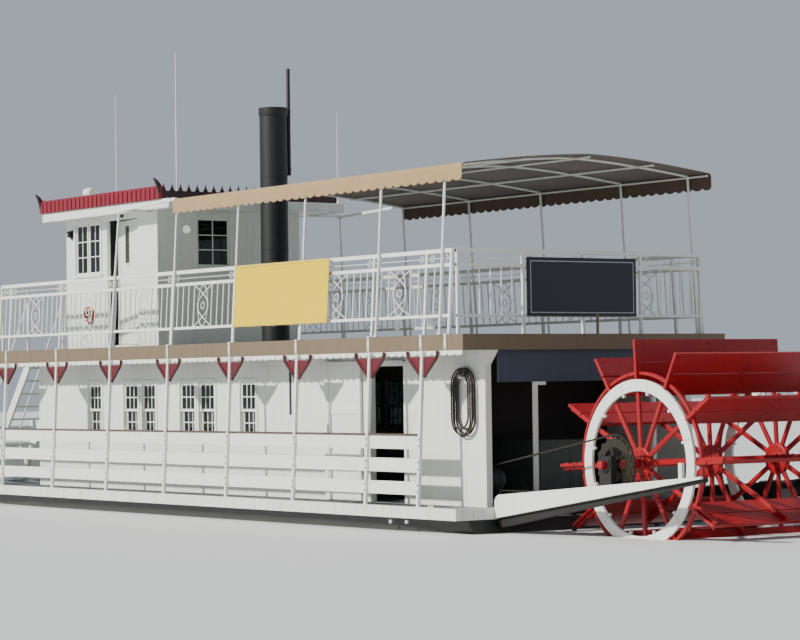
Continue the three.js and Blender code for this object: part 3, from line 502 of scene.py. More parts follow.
def varnished(name, colour, figure, grain_mm):
    """Varnished wood: rings stretched along the grain under a clear coat."""
    material, tree, shader = start_material(name, colour, 0.35, Coat_Weight=0.8, Coat_Roughness=0.12)
    stretched = put(tree, "ShaderNodeMapping", {"Vector": object_place(tree), "Scale": (0.1, 1.0, 1.0)})
    rings = put(tree, "ShaderNodeTexWave", {"Vector": stretched.outputs["Vector"], "Distortion": 6.0,
                                            "Scale": per_metre(grain_mm) / WAVES_PER_SCALE, "Detail": 3.0})
    tree.links.new(mixed(tree, rings.outputs["Fac"], colour, figure), shader.inputs["Base Color"])
    return material


GALVANISED = mottled("galvanised_steel", "#8d9294", "#a9adae", 25, 0.45, 0.9)
OILED_STEEL = mottled("oiled_steel", "#4d4a3c", "#34322b", 18, 0.38, 0.75)
BLACK_PLASTIC = mottled("black_moulded_plastic", "#141414", "#1d1d1d", 6, 0.45)
WHITE_FIBREGLASS = mottled("white_glass_fibre", "#e4e3dc", "#d6d5cd", 30, 0.35)
BUOY_RED = mottled("red_moulded_foam", "#b4453a", "#a53c33", 20, 0.55)
MAHOGANY = varnished("varnished_mahogany", "#5b2a16", "#7a3d20", 9)
CAP_WOOD = varnished("weathered_varnished_fir", "#3d2c20", "#4e3a2b", 8)
LAMP_GLASS = start_material("frosted_lamp_glass", "#f5f4ec", 0.35, Transmission_Weight=0.3,
                            Emission_Color=linear("#fffdf5"), Emission_Strength=0.35)[0]
# Its near-black tint is painted shade: it darkens the panes as unlit rooms behind them would.
WINDOW_GLASS_SHADED = start_material("window_glass", "#2c3534", 0.03, Transmission_Weight=0.8, IOR=1.5)[0]
print("materials so far:", len(bpy.data.materials))

# %% [markdown]
# ## Floor and light
# The boat stays afloat on a plain pale floor at its waterline. In the photograph the sun stands abeam to
# port, about 34 degrees high, so the key light comes from there, softened as by a large diffuser. A pale
# sky from all round fills the shade. The floor is not part of the boat.

# %% Studio
SUN_HEIGHT, SUN_TURN, SUN_SPREAD = math.radians(34), math.radians(14), math.radians(2.5)
SUN_STRENGTH, SKY_STRENGTH = 6.0, 0.72
FLOOR_HALF = 150.0

bm = bmesh.new()
bmesh.ops.create_grid(bm, x_segments=1, y_segments=1, size=FLOOR_HALF)
floor = add_object("studio_floor", kept_mesh("studio_floor", bm))
floor.data.materials.append(start_material("pale_studio_floor", "#d4d6d6", 0.7)[0])

sun = bpy.data.lights.new("key_light", "SUN")
sun.energy = SUN_STRENGTH
sun.angle = SUN_SPREAD
sun.color = (1.0, 0.965, 0.91)
key = add_object("key_light", sun)
from_light = Vector((math.sin(SUN_TURN) * math.cos(SUN_HEIGHT), math.cos(SUN_TURN) * math.cos(SUN_HEIGHT),
                     math.sin(SUN_HEIGHT)))
key.rotation_euler = from_light.to_track_quat("Z", "Y").to_euler()

sky = bpy.data.worlds.new("studio_sky")
sky.use_nodes = True
background = sky.node_tree.nodes["Background"].inputs
background["Color"].default_value = linear("#c3cfda")
background["Strength"].default_value = SKY_STRENGTH
bpy.context.scene.world = sky
print("key light height:", round(math.degrees(SUN_HEIGHT)), "degrees")

# %% [markdown]
# ## The rope hank
# A mooring line hangs in a hank on a peg by the cabin's corner. The photograph shows it whole, so its
# length is what its turns measure. It could be a curve with a bevel, but a rope is three strands laid
# together, and their crowns catch the light. So the line is worked out first, loop by loop, each loop in
# its own place beside or in front of the last, and then a three-lobed section is swept along it while it
# turns once per lay.

# %% Rope hank on its peg
ROPE_DIAMETER, ROPE_LAY, ROPE_LENGTH = 0.028, 0.11, 10.6
HANK_X, HANK_TOP, HANK_BOTTOM = 0.570, 1.888, 1.444
ROPE_STEPS, STRAND_SIDES = 110, 15
# Columns: radius of the turn's round ends, its y, how much higher its foot hangs
HANK_TURNS = [(0.136, 1.786, 0.055), (0.180, 1.786, 0.03), (0.222, 1.786, 0.0), (0.222, 1.834, 0.02),
              (0.180, 1.834, 0.0), (0.136, 1.834, 0.075)]
HANK_START, HANK_END = -0.028, 5.27
# The part of each turn in which it crosses over to the next one's place
CROSSING = (0.3, 0.7)


def ease(t):
    """0 before 0, 1 after 1, smooth between."""
    t = min(1.0, max(0.0, t))
    return t * t * (3 - 2 * t)


def hank_point(turns):
    """The rope's centre after that many turns, counted from the top of the hank."""
    whole = math.floor(turns)
    share = turns - whole
    now, after = (HANK_TURNS[min(max(k, 0), len(HANK_TURNS) - 1)] for k in (whole, whole + 1))
    blend = ease((share - CROSSING[0]) / (CROSSING[1] - CROSSING[0]))
    radius, y, lift = (a + (b - a) * blend for a, b in zip(now, after))
    foot = HANK_BOTTOM + lift
    straight, quarter = HANK_TOP - foot, math.pi * radius / 2
    along = share * (2 * straight + 4 * quarter)
    # Down from the top on the fore side, round the foot, and up again on the aft side
    if along < quarter:
        angle, middle = math.pi / 2 - along / radius, HANK_TOP
    elif along < quarter + straight:
        return at(HANK_X + radius, y, HANK_TOP - (along - quarter))
    elif along < 3 * quarter + straight:
        angle, middle = -(along - quarter - straight) / radius, foot
    elif along < 3 * quarter + 2 * straight:
        return at(HANK_X - radius, y, foot + along - 3 * quarter - straight)
    else:
        angle, middle = math.pi - (along - 3 * quarter - 2 * straight) / radius, HANK_TOP
    return at(HANK_X + radius * math.cos(angle), y, middle + radius * math.sin(angle))


rope_count = round((HANK_END - HANK_START) * ROPE_STEPS)
rope_line = [hank_point(HANK_START + (HANK_END - HANK_START) * i / rope_count)
             for i in range(rope_count + 1)]
rope_reach = [0.0]
for here, there in zip(rope_line, rope_line[1:]):
    rope_reach.append(rope_reach[-1] + (there - here).length)
strands = []
for k in range(STRAND_SIDES):
    a = 2 * math.pi * k / STRAND_SIDES
    radius = ROPE_DIAMETER / 2 * (0.9 + 0.1 * math.cos(3 * a))
    strands.append((radius * math.cos(a), radius * math.sin(a)))
bm = bmesh.new()
sweep(bm, rope_line, strands, turns=[2 * math.pi * reach / ROPE_LAY for reach in rope_reach])
rope = finish_piece("rope_line", bm, ROPE, replaced=("rope_hank",))
rope.data.set_sharp_from_angle(angle=math.pi)
crown = rope.data.attributes.new("crown", "FLOAT", "POINT")
crown.data.foreach_set("value", [0.5 + 0.5 * math.cos(6 * math.pi * (k % STRAND_SIDES) / STRAND_SIDES)
                                 for k in range(len(rope.data.vertices))])

TIE_DIAMETER, TIE_WRAPS, TIE_STEPS, TIE_CORNER = 0.008, 6, 16, 0.6
TIE_START, TIE_Y, TIE_Z = HANK_X - 0.06, (1.768, 1.852), (2.0, 2.118)


def boxy(value, limits):
    """Goes to and fro between two limits as a sine or cosine does, but lingers there, for rounded corners."""
    return sum(limits) / 2 + math.copysign(abs(value) ** TIE_CORNER, value) * (limits[1] - limits[0]) / 2


tie_line = []
for step in range(TIE_WRAPS * TIE_STEPS + 1):
    around = 2 * math.pi * step / TIE_STEPS
    tie_line.append(at(TIE_START + TIE_DIAMETER * step / TIE_STEPS, boxy(math.cos(around), TIE_Y),
                       boxy(math.sin(around), TIE_Z)))
bm = bmesh.new()
tube(bm, tie_line, TIE_DIAMETER / 2, 8)
tie = finish_piece("rope_tie", bm, ROPE)
crown = tie.data.attributes.new("crown", "FLOAT", "POINT")
crown.data.foreach_set("value", [0.4] * len(tie.data.vertices))
print("rope length:", round(rope_reach[-1], 2), "m")

# %% [markdown]
# ## The canopy
# One sheet of canvas is stretched over five bows, rolls over the eaves and hangs as a scalloped valance
# along both sides. It is a single grid, so it stays one continuous cloth: across it, the height follows the
# bows' arch, along it the cloth sags between them, and the last rows drop to a hem cut in scallops. Cloth
# simulation would give the same sag with less control over the scallops, so the sag is written as a
# formula.

# %% Canopy frame
CANOPY_AFT, CANOPY_FORE = 0.109, 7.400
CANOPY_POSTS = [0.535, 1.970, 3.814, 5.588, 7.350]
# Columns: height, distance from the centreline of the main deck's leaning posts, then of the canopy's
POST_LINE = [(0.330, 2.3516), (2.345, 2.2458)]
CANOPY_LINE = [(2.540, 2.200), (3.652, 2.130), (4.718, 2.066)]
RAIL_INBOARD, CLAMP_Z = 0.042, (2.787, 3.625)
DECK_EDGE_TOP = 2.545
FRAME_RADIUS = 0.018
EAVE_Y, CANOPY_HALF = 2.066, 2.120
LONG_TUBES_Y = (EAVE_Y, 1.1, 0.0, -1.1, -EAVE_Y)
BOW_TOP, BOW_DROP, BOW_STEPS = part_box("canopy_frame")[1].z, 0.180, 24


def line_y(line, z):
    """How far a line of leaning posts is from the centreline at a height."""
    for (z0, y0), (z1, y1) in zip(line, line[1:]):
        if z <= z1:
            return y0 + (y1 - y0) * (z - z0) / (z1 - z0)
    return line[-1][1]


def post_y(z):
    """The main deck's posts at a height."""
    return line_y(POST_LINE, z)


def canopy_y(z):
    """The canopy's posts at a height."""
    return line_y(CANOPY_LINE, z)


def rail_y(z):
    """The upper rail's plane, a little inboard of the canopy's posts."""
    return canopy_y(z) - RAIL_INBOARD


def bow_z(y):
    """The top of the bows, which the cloth lies on."""
    return BOW_TOP - BOW_DROP * (min(abs(y), EAVE_Y) / EAVE_Y) ** 1.5


bow_ys = [EAVE_Y * (2 * i / BOW_STEPS - 1) for i in range(BOW_STEPS + 1)]
bm = bmesh.new()
for x in CANOPY_POSTS:
    tube(bm, [at(x, y, bow_z(y) - FRAME_RADIUS) for y in bow_ys], FRAME_RADIUS, 12)
    for sign in (1, -1):
        line = [(DECK_EDGE_TOP + 0.001, canopy_y(DECK_EDGE_TOP)), CANOPY_LINE[1],
                (bow_z(EAVE_Y) - FRAME_RADIUS, EAVE_Y)]
        tube(bm, [at(x, sign * y, z) for z, y in line], FRAME_RADIUS, 12)
        turned(bm, at(x, sign * line[0][1], line[0][0]), (0, 0, 1),
               [(0, 0.036), (0.012, 0.036), (0.02, 0.024), (0.05, 0.024)], 16)
        for z in CLAMP_Z:
            block(bm, (x - 0.022, x + 0.022), (sign * (rail_y(z) - 0.028), sign * (canopy_y(z) + 0.021)),
                  (z - 0.013, z + 0.013))
for y in LONG_TUBES_Y:
    z = bow_z(y) - 2 * FRAME_RADIUS
    tube(bm, [at(CANOPY_AFT + 0.02, y, z), at(CANOPY_FORE - 0.02, y, z)], FRAME_RADIUS * 0.8, 12)
finish_piece("canopy_tubes", bm, WHITE_ENAMEL, replaced=("canopy_frame",))
print("bows:", len(CANOPY_POSTS), "long tubes:", len(LONG_TUBES_Y))

# %% Canopy cloth
CLOTH, SAG = 0.003, 0.019
HEM_Z, SCALLOP_DEPTH, SCALLOP_PITCH = 4.507, 0.045, 0.19
ROOF_ROWS, ROLL_ROWS, VALANCE_ROWS, CLOTH_COLUMNS = 40, 5, 9, 388
ROLL_RADIUS = CANOPY_HALF - EAVE_Y


def draw_sheet(bm, points, flat):
    """Draws a grid of faces through rows of points, with the flat sheet's places in metres as its UV map."""
    flat_map = bm.loops.layers.uv.get("flat") or bm.loops.layers.uv.new("flat")
    verts = [[bm.verts.new(point) for point in row] for row in points]
    for i in range(len(verts) - 1):
        for j in range(len(verts[0]) - 1):
            corners = [(i, j), (i, j + 1), (i + 1, j + 1), (i + 1, j)]
            face = bm.faces.new([verts[a][b] for a, b in corners])
            for loop, (a, b) in zip(face.loops, corners):
                loop[flat_map].uv = flat[a][b]


def thicken(sheet, thickness, offset=0.0):
    """Gives a sheet its thickness, to both sides or inwards."""
    wall = sheet.modifiers.new("thickness", "SOLIDIFY")
    wall.thickness = thickness
    wall.offset = offset
    return wall


def cloth_drop(x):
    """How far the cloth hangs below the bows at a place along the boat, from 0 to 1."""
    for x0, x1 in zip(CANOPY_POSTS, CANOPY_POSTS[1:]):
        if x0 <= x <= x1:
            return math.sin(math.pi * (x - x0) / (x1 - x0)) ** 2
    return 0.0


def hem_z(x):
    """The lower edge of the valance: a row of round scallops."""
    share = ((x - CANOPY_AFT) / SCALLOP_PITCH) % 1.0
    return HEM_Z + SCALLOP_DEPTH * (1 - math.sqrt(max(0.0, 1 - (2 * share - 1) ** 2)))


def cloth_row(x, row, sign):
    """A point of the cloth: rows count from the ridge, over the eave, down to the hem."""
    top = CLOTH + 0.001
    if row <= ROOF_ROWS:
        y = EAVE_Y * row / ROOF_ROWS
        return sign * y, bow_z(y) + top - SAG * cloth_drop(x) * (1 - (y / EAVE_Y) ** 6)
    row -= ROOF_ROWS
    edge = bow_z(EAVE_Y) + top
    if row <= ROLL_ROWS:
        angle = math.pi / 2 * row / ROLL_ROWS
        return sign * (EAVE_Y + ROLL_RADIUS * math.sin(angle)), edge - ROLL_RADIUS * (1 - math.cos(angle))
    share = (row - ROLL_ROWS) / VALANCE_ROWS
    start = edge - ROLL_RADIUS
    flutter = 0.006 * math.sin(9.0 * x) + 0.004 * math.sin(23.0 * x + 1.0)
    return sign * (CANOPY_HALF + flutter * share * share), start + (hem_z(x) - start) * share


half_rows = ROOF_ROWS + ROLL_ROWS + VALANCE_ROWS
rows = [(row, sign) for sign, order in ((1, range(half_rows, 0, -1)), (-1, range(0, half_rows + 1)))
        for row in order]
points, flat = [], []
for column in range(CLOTH_COLUMNS + 1):
    x = CANOPY_AFT + (CANOPY_FORE - CANOPY_AFT) * column / CLOTH_COLUMNS
    line = [cloth_row(x, row, sign) for row, sign in rows]
    reach = [0.0]
    for here, there in zip(line, line[1:]):
        reach.append(reach[-1] + math.dist(here, there))
    points.append([at(x, y, z) for y, z in line])
    flat.append([(x, r - reach[-1] / 2) for r in reach])
bm = bmesh.new()
draw_sheet(bm, points, flat)
bmesh.ops.recalc_face_normals(bm, faces=bm.faces)
if sum((face.normal.z for face in bm.faces), 0.0) < 0:
    bmesh.ops.reverse_faces(bm, faces=bm.faces)
cloth_area = sum(face.calc_area() for face in bm.faces)
canopy = finish_piece("canopy_cloth", bm, CANVAS, replaced=("canopy",))
# The inner face gets the underside canvas, painted darker as shade.
canopy.data.materials.append(CANVAS_SHADED_UNDER)
wall = thicken(canopy, CLOTH, -1.0)
wall.material_offset = 1
wall.material_offset_rim = 0
print("canopy cloth:", round(cloth_area, 2), "square metres, girth", round(2 * flat[4][-1][1], 3))

# %% [markdown]
# ## The yellow sign
# A reinforced vinyl sheet is lashed outside the port rail. In the photograph it carries lettering, which
# this boat leaves off: the place stays plain yellow, with the welded hem, the eyelets and the slight
# ripples of a sheet pulled from its edges. A grid gives the ripples, and turned rings make the eyelets.

# %% Vinyl sign with hem, eyelets and lashings
SIGN_X, SIGN_Z, SIGN_OUT = (3.110, 5.556), (2.760, 3.650), 0.032
SIGN_COLUMNS, SIGN_ROWS, HEM_STEPS, EYELETS = 96, 36, 60, 6
VINYL_THICK, HEM_THICK, HEM_WIDTH, HEM_PROUD = 0.0015, 0.0012, 0.035, 0.0016
LASHING, LASHING_LOOP = 0.0025, 0.036
sign_length = SIGN_X[1] - SIGN_X[0]
sign_slant = math.hypot(SIGN_Z[1] - SIGN_Z[0], canopy_y(SIGN_Z[0]) - canopy_y(SIGN_Z[1]))


def sign_point(u, v):
    """A point of the sheet, with u and v from 0 to 1."""
    pull = abs(math.sin(math.pi * u * (EYELETS - 1)))
    z = SIGN_Z[0] + (SIGN_Z[1] - SIGN_Z[0]) * v + 0.007 * pull * ((1 - v) ** 3 - v ** 3)
    turn = 2 * math.pi
    ripple = 0.006 * math.sin(turn * (2.3 * u + 0.8 * v)) + 0.003 * math.sin(turn * (5.1 * u - v))
    slack = math.sin(math.pi * v) * (0.4 + 0.6 * pull)
    return at(SIGN_X[0] + sign_length * u, canopy_y(z) + SIGN_OUT + ripple * slack, z)


places = [[(i / SIGN_COLUMNS, j / SIGN_ROWS) for j in range(SIGN_ROWS + 1)]
          for i in range(SIGN_COLUMNS + 1)]
bm = bmesh.new()
draw_sheet(bm, [[sign_point(u, v) for u, v in row] for row in places],
           [[(u * sign_length, v * sign_slant) for u, v in row] for row in places])
sign_sheet = finish_piece("vinyl_sheet", bm, VINYL, replaced=("vinyl_sign",))
thicken(sign_sheet, VINYL_THICK)

hem_u, hem_v = HEM_WIDTH / sign_length, HEM_WIDTH / sign_slant
bm = bmesh.new()
for start, end, inward in (((0, 0), (1, 0), (0, hem_v)), ((0, 1), (1, 1), (0, -hem_v)),
                           ((0, 0), (0, 1), (hem_u, 0)), ((1, 0), (1, 1), (-hem_u, 0))):
    strip = []
    for k in range(HEM_STEPS + 1):
        u, v = (a + (b - a) * k / HEM_STEPS for a, b in zip(start, end))
        strip.append([sign_point(a, b) + Vector((0, HEM_PROUD, 0))
                      for a, b in ((u, v), (u + inward[0], v + inward[1]))])
    draw_sheet(bm, strip, [[(p.x, p.z) for p in row] for row in strip])
bmesh.ops.recalc_face_normals(bm, faces=bm.faces)
sign_hem = finish_piece("vinyl_hem", bm, VINYL)
thicken(sign_hem, HEM_THICK)

bm, lashings = bmesh.new(), bmesh.new()
for i in range(EYELETS):
    for v, rail_z in zip((0.02, 0.98), CLAMP_Z):
        u = 0.008 + 0.984 * i / (EYELETS - 1)
        spot = sign_point(u, v)
        turned(bm, spot, (0, 1, 0), [(-0.003, 0.007), (-0.003, 0.013), (0.0035, 0.013), (0.0045, 0.010),
                                     (0.0035, 0.007), (-0.003, 0.007)], 16)
        rail = at(SIGN_X[0] + sign_length * u, rail_y(rail_z), rail_z)
        loop_line = [rail + Vector((0.004 * math.sin(2 * a), LASHING_LOOP * math.cos(a) + 0.006,
                                    LASHING_LOOP * math.sin(a)))
                     for a in (2 * math.pi * k / 16 for k in range(16))]
        tube(lashings, loop_line, LASHING, 6, closed=True)
        tube(lashings, [rail + Vector((0, 0.04, 0)), spot + Vector((0, 0.004, 0))], LASHING, 6)
sign_eyelets = finish_piece("sign_eyelets", bm, GALVANISED)
sign_ties = finish_piece("sign_lashings", lashings, WHITE_FIBREGLASS)
print("sign:", round(sign_length, 3), "by", round(sign_slant, 3), "m")

# %% [markdown]
# ## Rows, rings and bolts
# Much of this boat repeats: balusters, scallops, spikes, chain links, wheel arms and bolt heads. Copies
# could be placed one by one in a loop, but Geometry Nodes keep the rule apart from the shape. Three trees
# are built here: one sets a shape along a path, one turns it round an axle, and one sets bolt heads on
# points. Each ends in real faces with a finish, and what it grows is kept as a plain mesh.

# %% Three node trees that repeat a shape


def new_tree(name, *inputs):
    """A geometry tree with named inputs, each given as (name, socket type, value)."""
    tree = bpy.data.node_groups.new(name, "GeometryNodeTree")
    tree.interface.new_socket("Geometry", in_out="OUTPUT", socket_type="NodeSocketGeometry")
    tree.interface.new_socket("Geometry", in_out="INPUT", socket_type="NodeSocketGeometry")
    for label, kind, value in inputs + (("Finish", "NodeSocketMaterial", None),):
        socket = tree.interface.new_socket(label, in_out="INPUT", socket_type=kind)
        if value is not None:
            socket.default_value = value
    return tree, put(tree, "NodeGroupInput").outputs


def end_tree(tree, points, shape, turn, finish):
    """Sets the shape on the points, makes real faces of it, gives them their finish and hands them out."""
    copies = put(tree, "GeometryNodeInstanceOnPoints", {"Points": points, "Instance": shape,
                                                        "Rotation": turn.outputs[0]})
    real = put(tree, "GeometryNodeRealizeInstances", {"Geometry": copies.outputs[0]})
    painted = put(tree, "GeometryNodeSetMaterial", {"Geometry": real.outputs[0], "Material": finish})
    put(tree, "NodeGroupOutput", {0: painted.outputs[0]})
    return tree


def row_tree():
    """A shape set along every path of the seed, a pitch apart: its X follows the path, its Z leans to Up."""
    tree, given = new_tree("shape_along_a_path", ("Shape", "NodeSocketObject", None),
                           ("Pitch", "NodeSocketFloat", 0.1), ("Up", "NodeSocketVector", (0.0, 0.0, 1.0)))
    shape = put(tree, "GeometryNodeObjectInfo", {"Object": given["Shape"]}).outputs["Geometry"]
    path = put(tree, "GeometryNodeMeshToCurve", {"Mesh": given["Geometry"]}).outputs[0]
    spots = put(tree, "GeometryNodeCurveToPoints", {"Curve": path, "Length": given["Pitch"]},
                mode="LENGTH").outputs
    turn = put(tree, "FunctionNodeAxesToRotation",
               {"Primary Axis": spots["Tangent"], "Secondary Axis": given["Up"]},
               primary_axis="X", secondary_axis="Z")
    return end_tree(tree, spots["Points"], shape, turn, given["Finish"])


def around_tree():
    """A shape drawn about the origin, turned in even steps round an axle through Centre."""
    tree, given = new_tree("shape_around_an_axle", ("Shape", "NodeSocketObject", None),
                           ("Count", "NodeSocketInt", 12), ("Centre", "NodeSocketVector", (0.0, 0.0, 0.0)),
                           ("Axle", "NodeSocketVector", (0.0, 1.0, 0.0)), ("Start", "NodeSocketFloat", 0.0))
    shape = put(tree, "GeometryNodeObjectInfo", {"Object": given["Shape"]}).outputs["Geometry"]
    spots = put(tree, "GeometryNodePoints", {"Count": given["Count"], "Position": given["Centre"]})
    step = calc(tree, "DIVIDE", 2 * math.pi, given["Count"])
    index = put(tree, "GeometryNodeInputIndex").outputs[0]
    turn = put(tree, "FunctionNodeAxisAngleToRotation",
               {"Axis": given["Axle"], "Angle": calc(tree, "MULTIPLY_ADD", index, step, given["Start"])})
    return end_tree(tree, spots.outputs[0], shape, turn, given["Finish"])


def bolt_tree():
    """A hexagon head on a washer at every point of the seed, standing along the point's facing."""
    tree, given = new_tree("bolt_heads_on_points", ("Across", "NodeSocketFloat", 0.02),
                           ("Height", "NodeSocketFloat", 0.008))
    both = put(tree, "GeometryNodeJoinGeometry")
    for sides, radius_share, depth_share in ((6, 0.5, 2.0), (12, 0.95, 0.7)):
        drum = put(tree, "GeometryNodeMeshCylinder",
                   {"Vertices": sides, "Radius": calc(tree, "MULTIPLY", given["Across"], radius_share),
                    "Depth": calc(tree, "MULTIPLY", given["Height"], depth_share)})
        tree.links.new(drum.outputs["Mesh"], both.inputs[0])
    facing = put(tree, "GeometryNodeInputNamedAttribute", {"Name": "facing"}, data_type="FLOAT_VECTOR")
    turn = put(tree, "FunctionNodeAlignRotationToVector", {"Vector": facing.outputs["Attribute"]}, axis="Z")
    return end_tree(tree, given["Geometry"], both.outputs[0], turn, given["Finish"])


ROWS, AROUND, BOLTS = row_tree(), around_tree(), bolt_tree()


def path_seed(*paths, closed=False):
    """A seed of bare edges, one chain of points for each path."""
    bm = bmesh.new()
    for points in paths:
        verts = [bm.verts.new(point) for point in points]
        for a, b in zip(verts, verts[1:] + (verts[:1] if closed else [])):
            bm.edges.new((a, b))
    return kept_mesh("path_seed", bm)


def bolt_seed(spots):
    """A seed of points, each given as (place, facing)."""
    bm = bmesh.new()
    for place, _ in spots:
        bm.verts.new(place)
    mesh = kept_mesh("bolt_seed", bm)
    facing = mesh.attributes.new("facing", "FLOAT_VECTOR", "POINT")
    facing.data.foreach_set("vector", [c for _, way in spots for c in Vector(way).normalized()])
    return mesh


def pattern(name, bm):
    """Keeps a shape that was drawn in the boat's coordinates as one drawn about the origin."""
    bmesh.ops.translate(bm, verts=bm.verts, vec=-at(0, 0, 0))
    return kept_mesh(name, bm)


def grown(name, tree, seed, finish, shape=None, **sizes):
    """Runs a tree on a seed and keeps what grows as a plain mesh."""
    holder = add_object(name + "_seed", seed or bpy.data.meshes.new("empty_seed"))
    helpers = [holder]
    if shape:
        sizes["Shape"] = add_object(name + "_shape", shape)
        helpers.append(sizes["Shape"])
    grow = holder.modifiers.new("grow", "NODES")
    grow.node_group = tree
    sizes["Finish"] = finish
    for socket in tree.interface.items_tree:
        if socket.in_out == "INPUT" and socket.name in sizes:
            grow[socket.identifier] = sizes[socket.name]
    ready = holder.evaluated_get(bpy.context.evaluated_depsgraph_get())
    mesh = bpy.data.meshes.new_from_object(ready)
    mesh.name = name
    holder.modifiers.remove(grow)
    for helper in helpers:
        bpy.data.objects.remove(helper)
    return mesh


def add_row(bm, shape, finish, pitch, paths, up=(0.0, 0.0, 1.0)):
    """Adds rows of a shape to a drawing. A hair off the pitch keeps rounding from losing the last one."""
    row = grown("row", ROWS, path_seed(*paths), finish, shape, Pitch=pitch * 0.999, Up=up)
    bm.from_mesh(row)
    bpy.data.meshes.remove(row)


def bolted(name, spots, finish, across, height):
    """A piece made of bolt heads."""
    mesh = grown(name, BOLTS, bolt_seed(spots), finish, Across=across, Height=height)
    finish_piece(name, mesh, finish, smooth=False)


print("node trees:", ROWS.name, AROUND.name, BOLTS.name)

# %% [markdown]
# ## Painted boards and plates
# The hull, decks, walls and beams already have their true shape in the solid model. The big plates only
# need their paint. Where an edge catches the light, a copy takes the solid's place: its loose triangles are
# merged into whole faces, and a bevel rounds each arris by a few millimetres, as sanding and paint do.

# %% Paint and soften the carried solids
for node, paint in (("hull", HULL_BLACK), ("main_deck", DECK_PAINT), ("upper_deck", DECK_PAINT),
                    ("rudder_port", HULL_BLACK), ("rudder_starboard", HULL_BLACK)):
    frame["nodes"][node].data.materials.clear()
    frame["nodes"][node].data.materials.append(paint)

# Columns: node, paint, bevel
SOFTENED = [
    ("guard", GUARD_ENAMEL, 0.008), ("deck_fascia", TAN_PAINT, 0.003), ("stern_header", SHADE_BLUE, 0.004),
    ("cabin_wall_port", SIDING, 0.004), ("cabin_wall_starboard", SIDING, 0.004),
    # The aft bulkhead's near-black paint is painted shade of the stern bay.
    ("cabin_wall_front", SIDING, 0.004), ("cabin_bulkhead_aft", BAY_SHADE_BLACK, 0.004),
    ("pilothouse_wall_port", SIDING, 0.004), ("pilothouse_wall_starboard", SIDING, 0.004),
    ("pilothouse_wall_aft", SIDING, 0.004), ("pilothouse_wall_front", SIDING, 0.004),
    ("pilothouse_roof", WHITE_ENAMEL, 0.006), ("stern_post_port", WHITE_ENAMEL, 0.004),
    ("stern_post_starboard", WHITE_ENAMEL, 0.004), ("stern_plank_port", WHITE_ENAMEL, 0.006),
    ("stern_plank_starboard", WHITE_ENAMEL, 0.006), ("stern_timbers", TIMBER_BLACK, 0.008),
    ("stair", WHITE_ENAMEL, 0.003), ("foredeck_rail", WHITE_ENAMEL, 0.004),
    ("engine_block", ENGINE_GREY, 0.02)]
for node, paint, arris in SOFTENED:
    softened(node, paint, arris)
print("softened:", len(SOFTENED), "solids")

# %% [markdown]
# ## Side posts, boards and brackets
# Square posts lean in a little from the guard to the upper deck's edge, and carry three wide boards a side.
# The top board wears a dark varnished cap. At each post two sawn red brackets run up to the deck in an S: a
# thick arm, painted dark red as shade, with a thinner red panel between it and the post. Posts and boards
# are pushed outlines with rounded arrises, the arms are swept along their curve, and the bolt heads come from
# the node tree.

# %% Side posts with boards, caps, brackets and bolts
POST_X = [0.840] + [2.040 + 1.774 * n for n in range(7)]
POST_FOOT, POST_HEAD, POST_HALF = 0.3303, 2.345, 0.023
BOARD_Z = [(0.479, 0.652), (0.770, 0.953), (1.070, 1.245)]
CAP_Z = (1.245, 1.273)
BOARD_THICK, BOARD_LAP = 0.026, 0.014
BOARD_ENDS = [POST_X[0]] + POST_X[1:-1] + [POST_X[-1] + 0.030]
# Columns: distance from the post, height
BRACKET_CURVE = [(0.330, 2.337), (0.326, 2.285), (0.296, 2.235), (0.235, 2.180), (0.175, 2.128),
                 (0.115, 2.076), (0.066, 2.032), (0.044, 2.002)]
PANEL_TOP = 2.264


def leaning_bar(bm, line, x, sign, zs, half):
    """A square bar that leans with a line of posts."""
    ends = [(sign * line(z), z) for z in zs]
    prism(bm, [(ends[0][0] - half, zs[0]), (ends[0][0] + half, zs[0]), (ends[1][0] + half, zs[1]),
               (ends[1][0] - half, zs[1])], "x", x - half, x + half)


def smooth_curve(points, steps=4):
    """A curve through (a, b) points, with a few steps from one to the next."""
    ends = [points[0]] + list(points) + [points[-1]]
    curve = []
    for i in range(1, len(ends) - 2):
        p0, p1, p2, p3 = (Vector(p) for p in ends[i - 1:i + 3])
        for k in range(steps):
            t = k / steps
            curve.append(tuple(0.5 * (2 * p1 + (p2 - p0) * t + (2 * p0 - 5 * p1 + 4 * p2 - p3) * t ** 2
                                      + (3 * p1 - p0 - 3 * p2 + p3) * t ** 3)))
    return curve + [tuple(points[-1])]


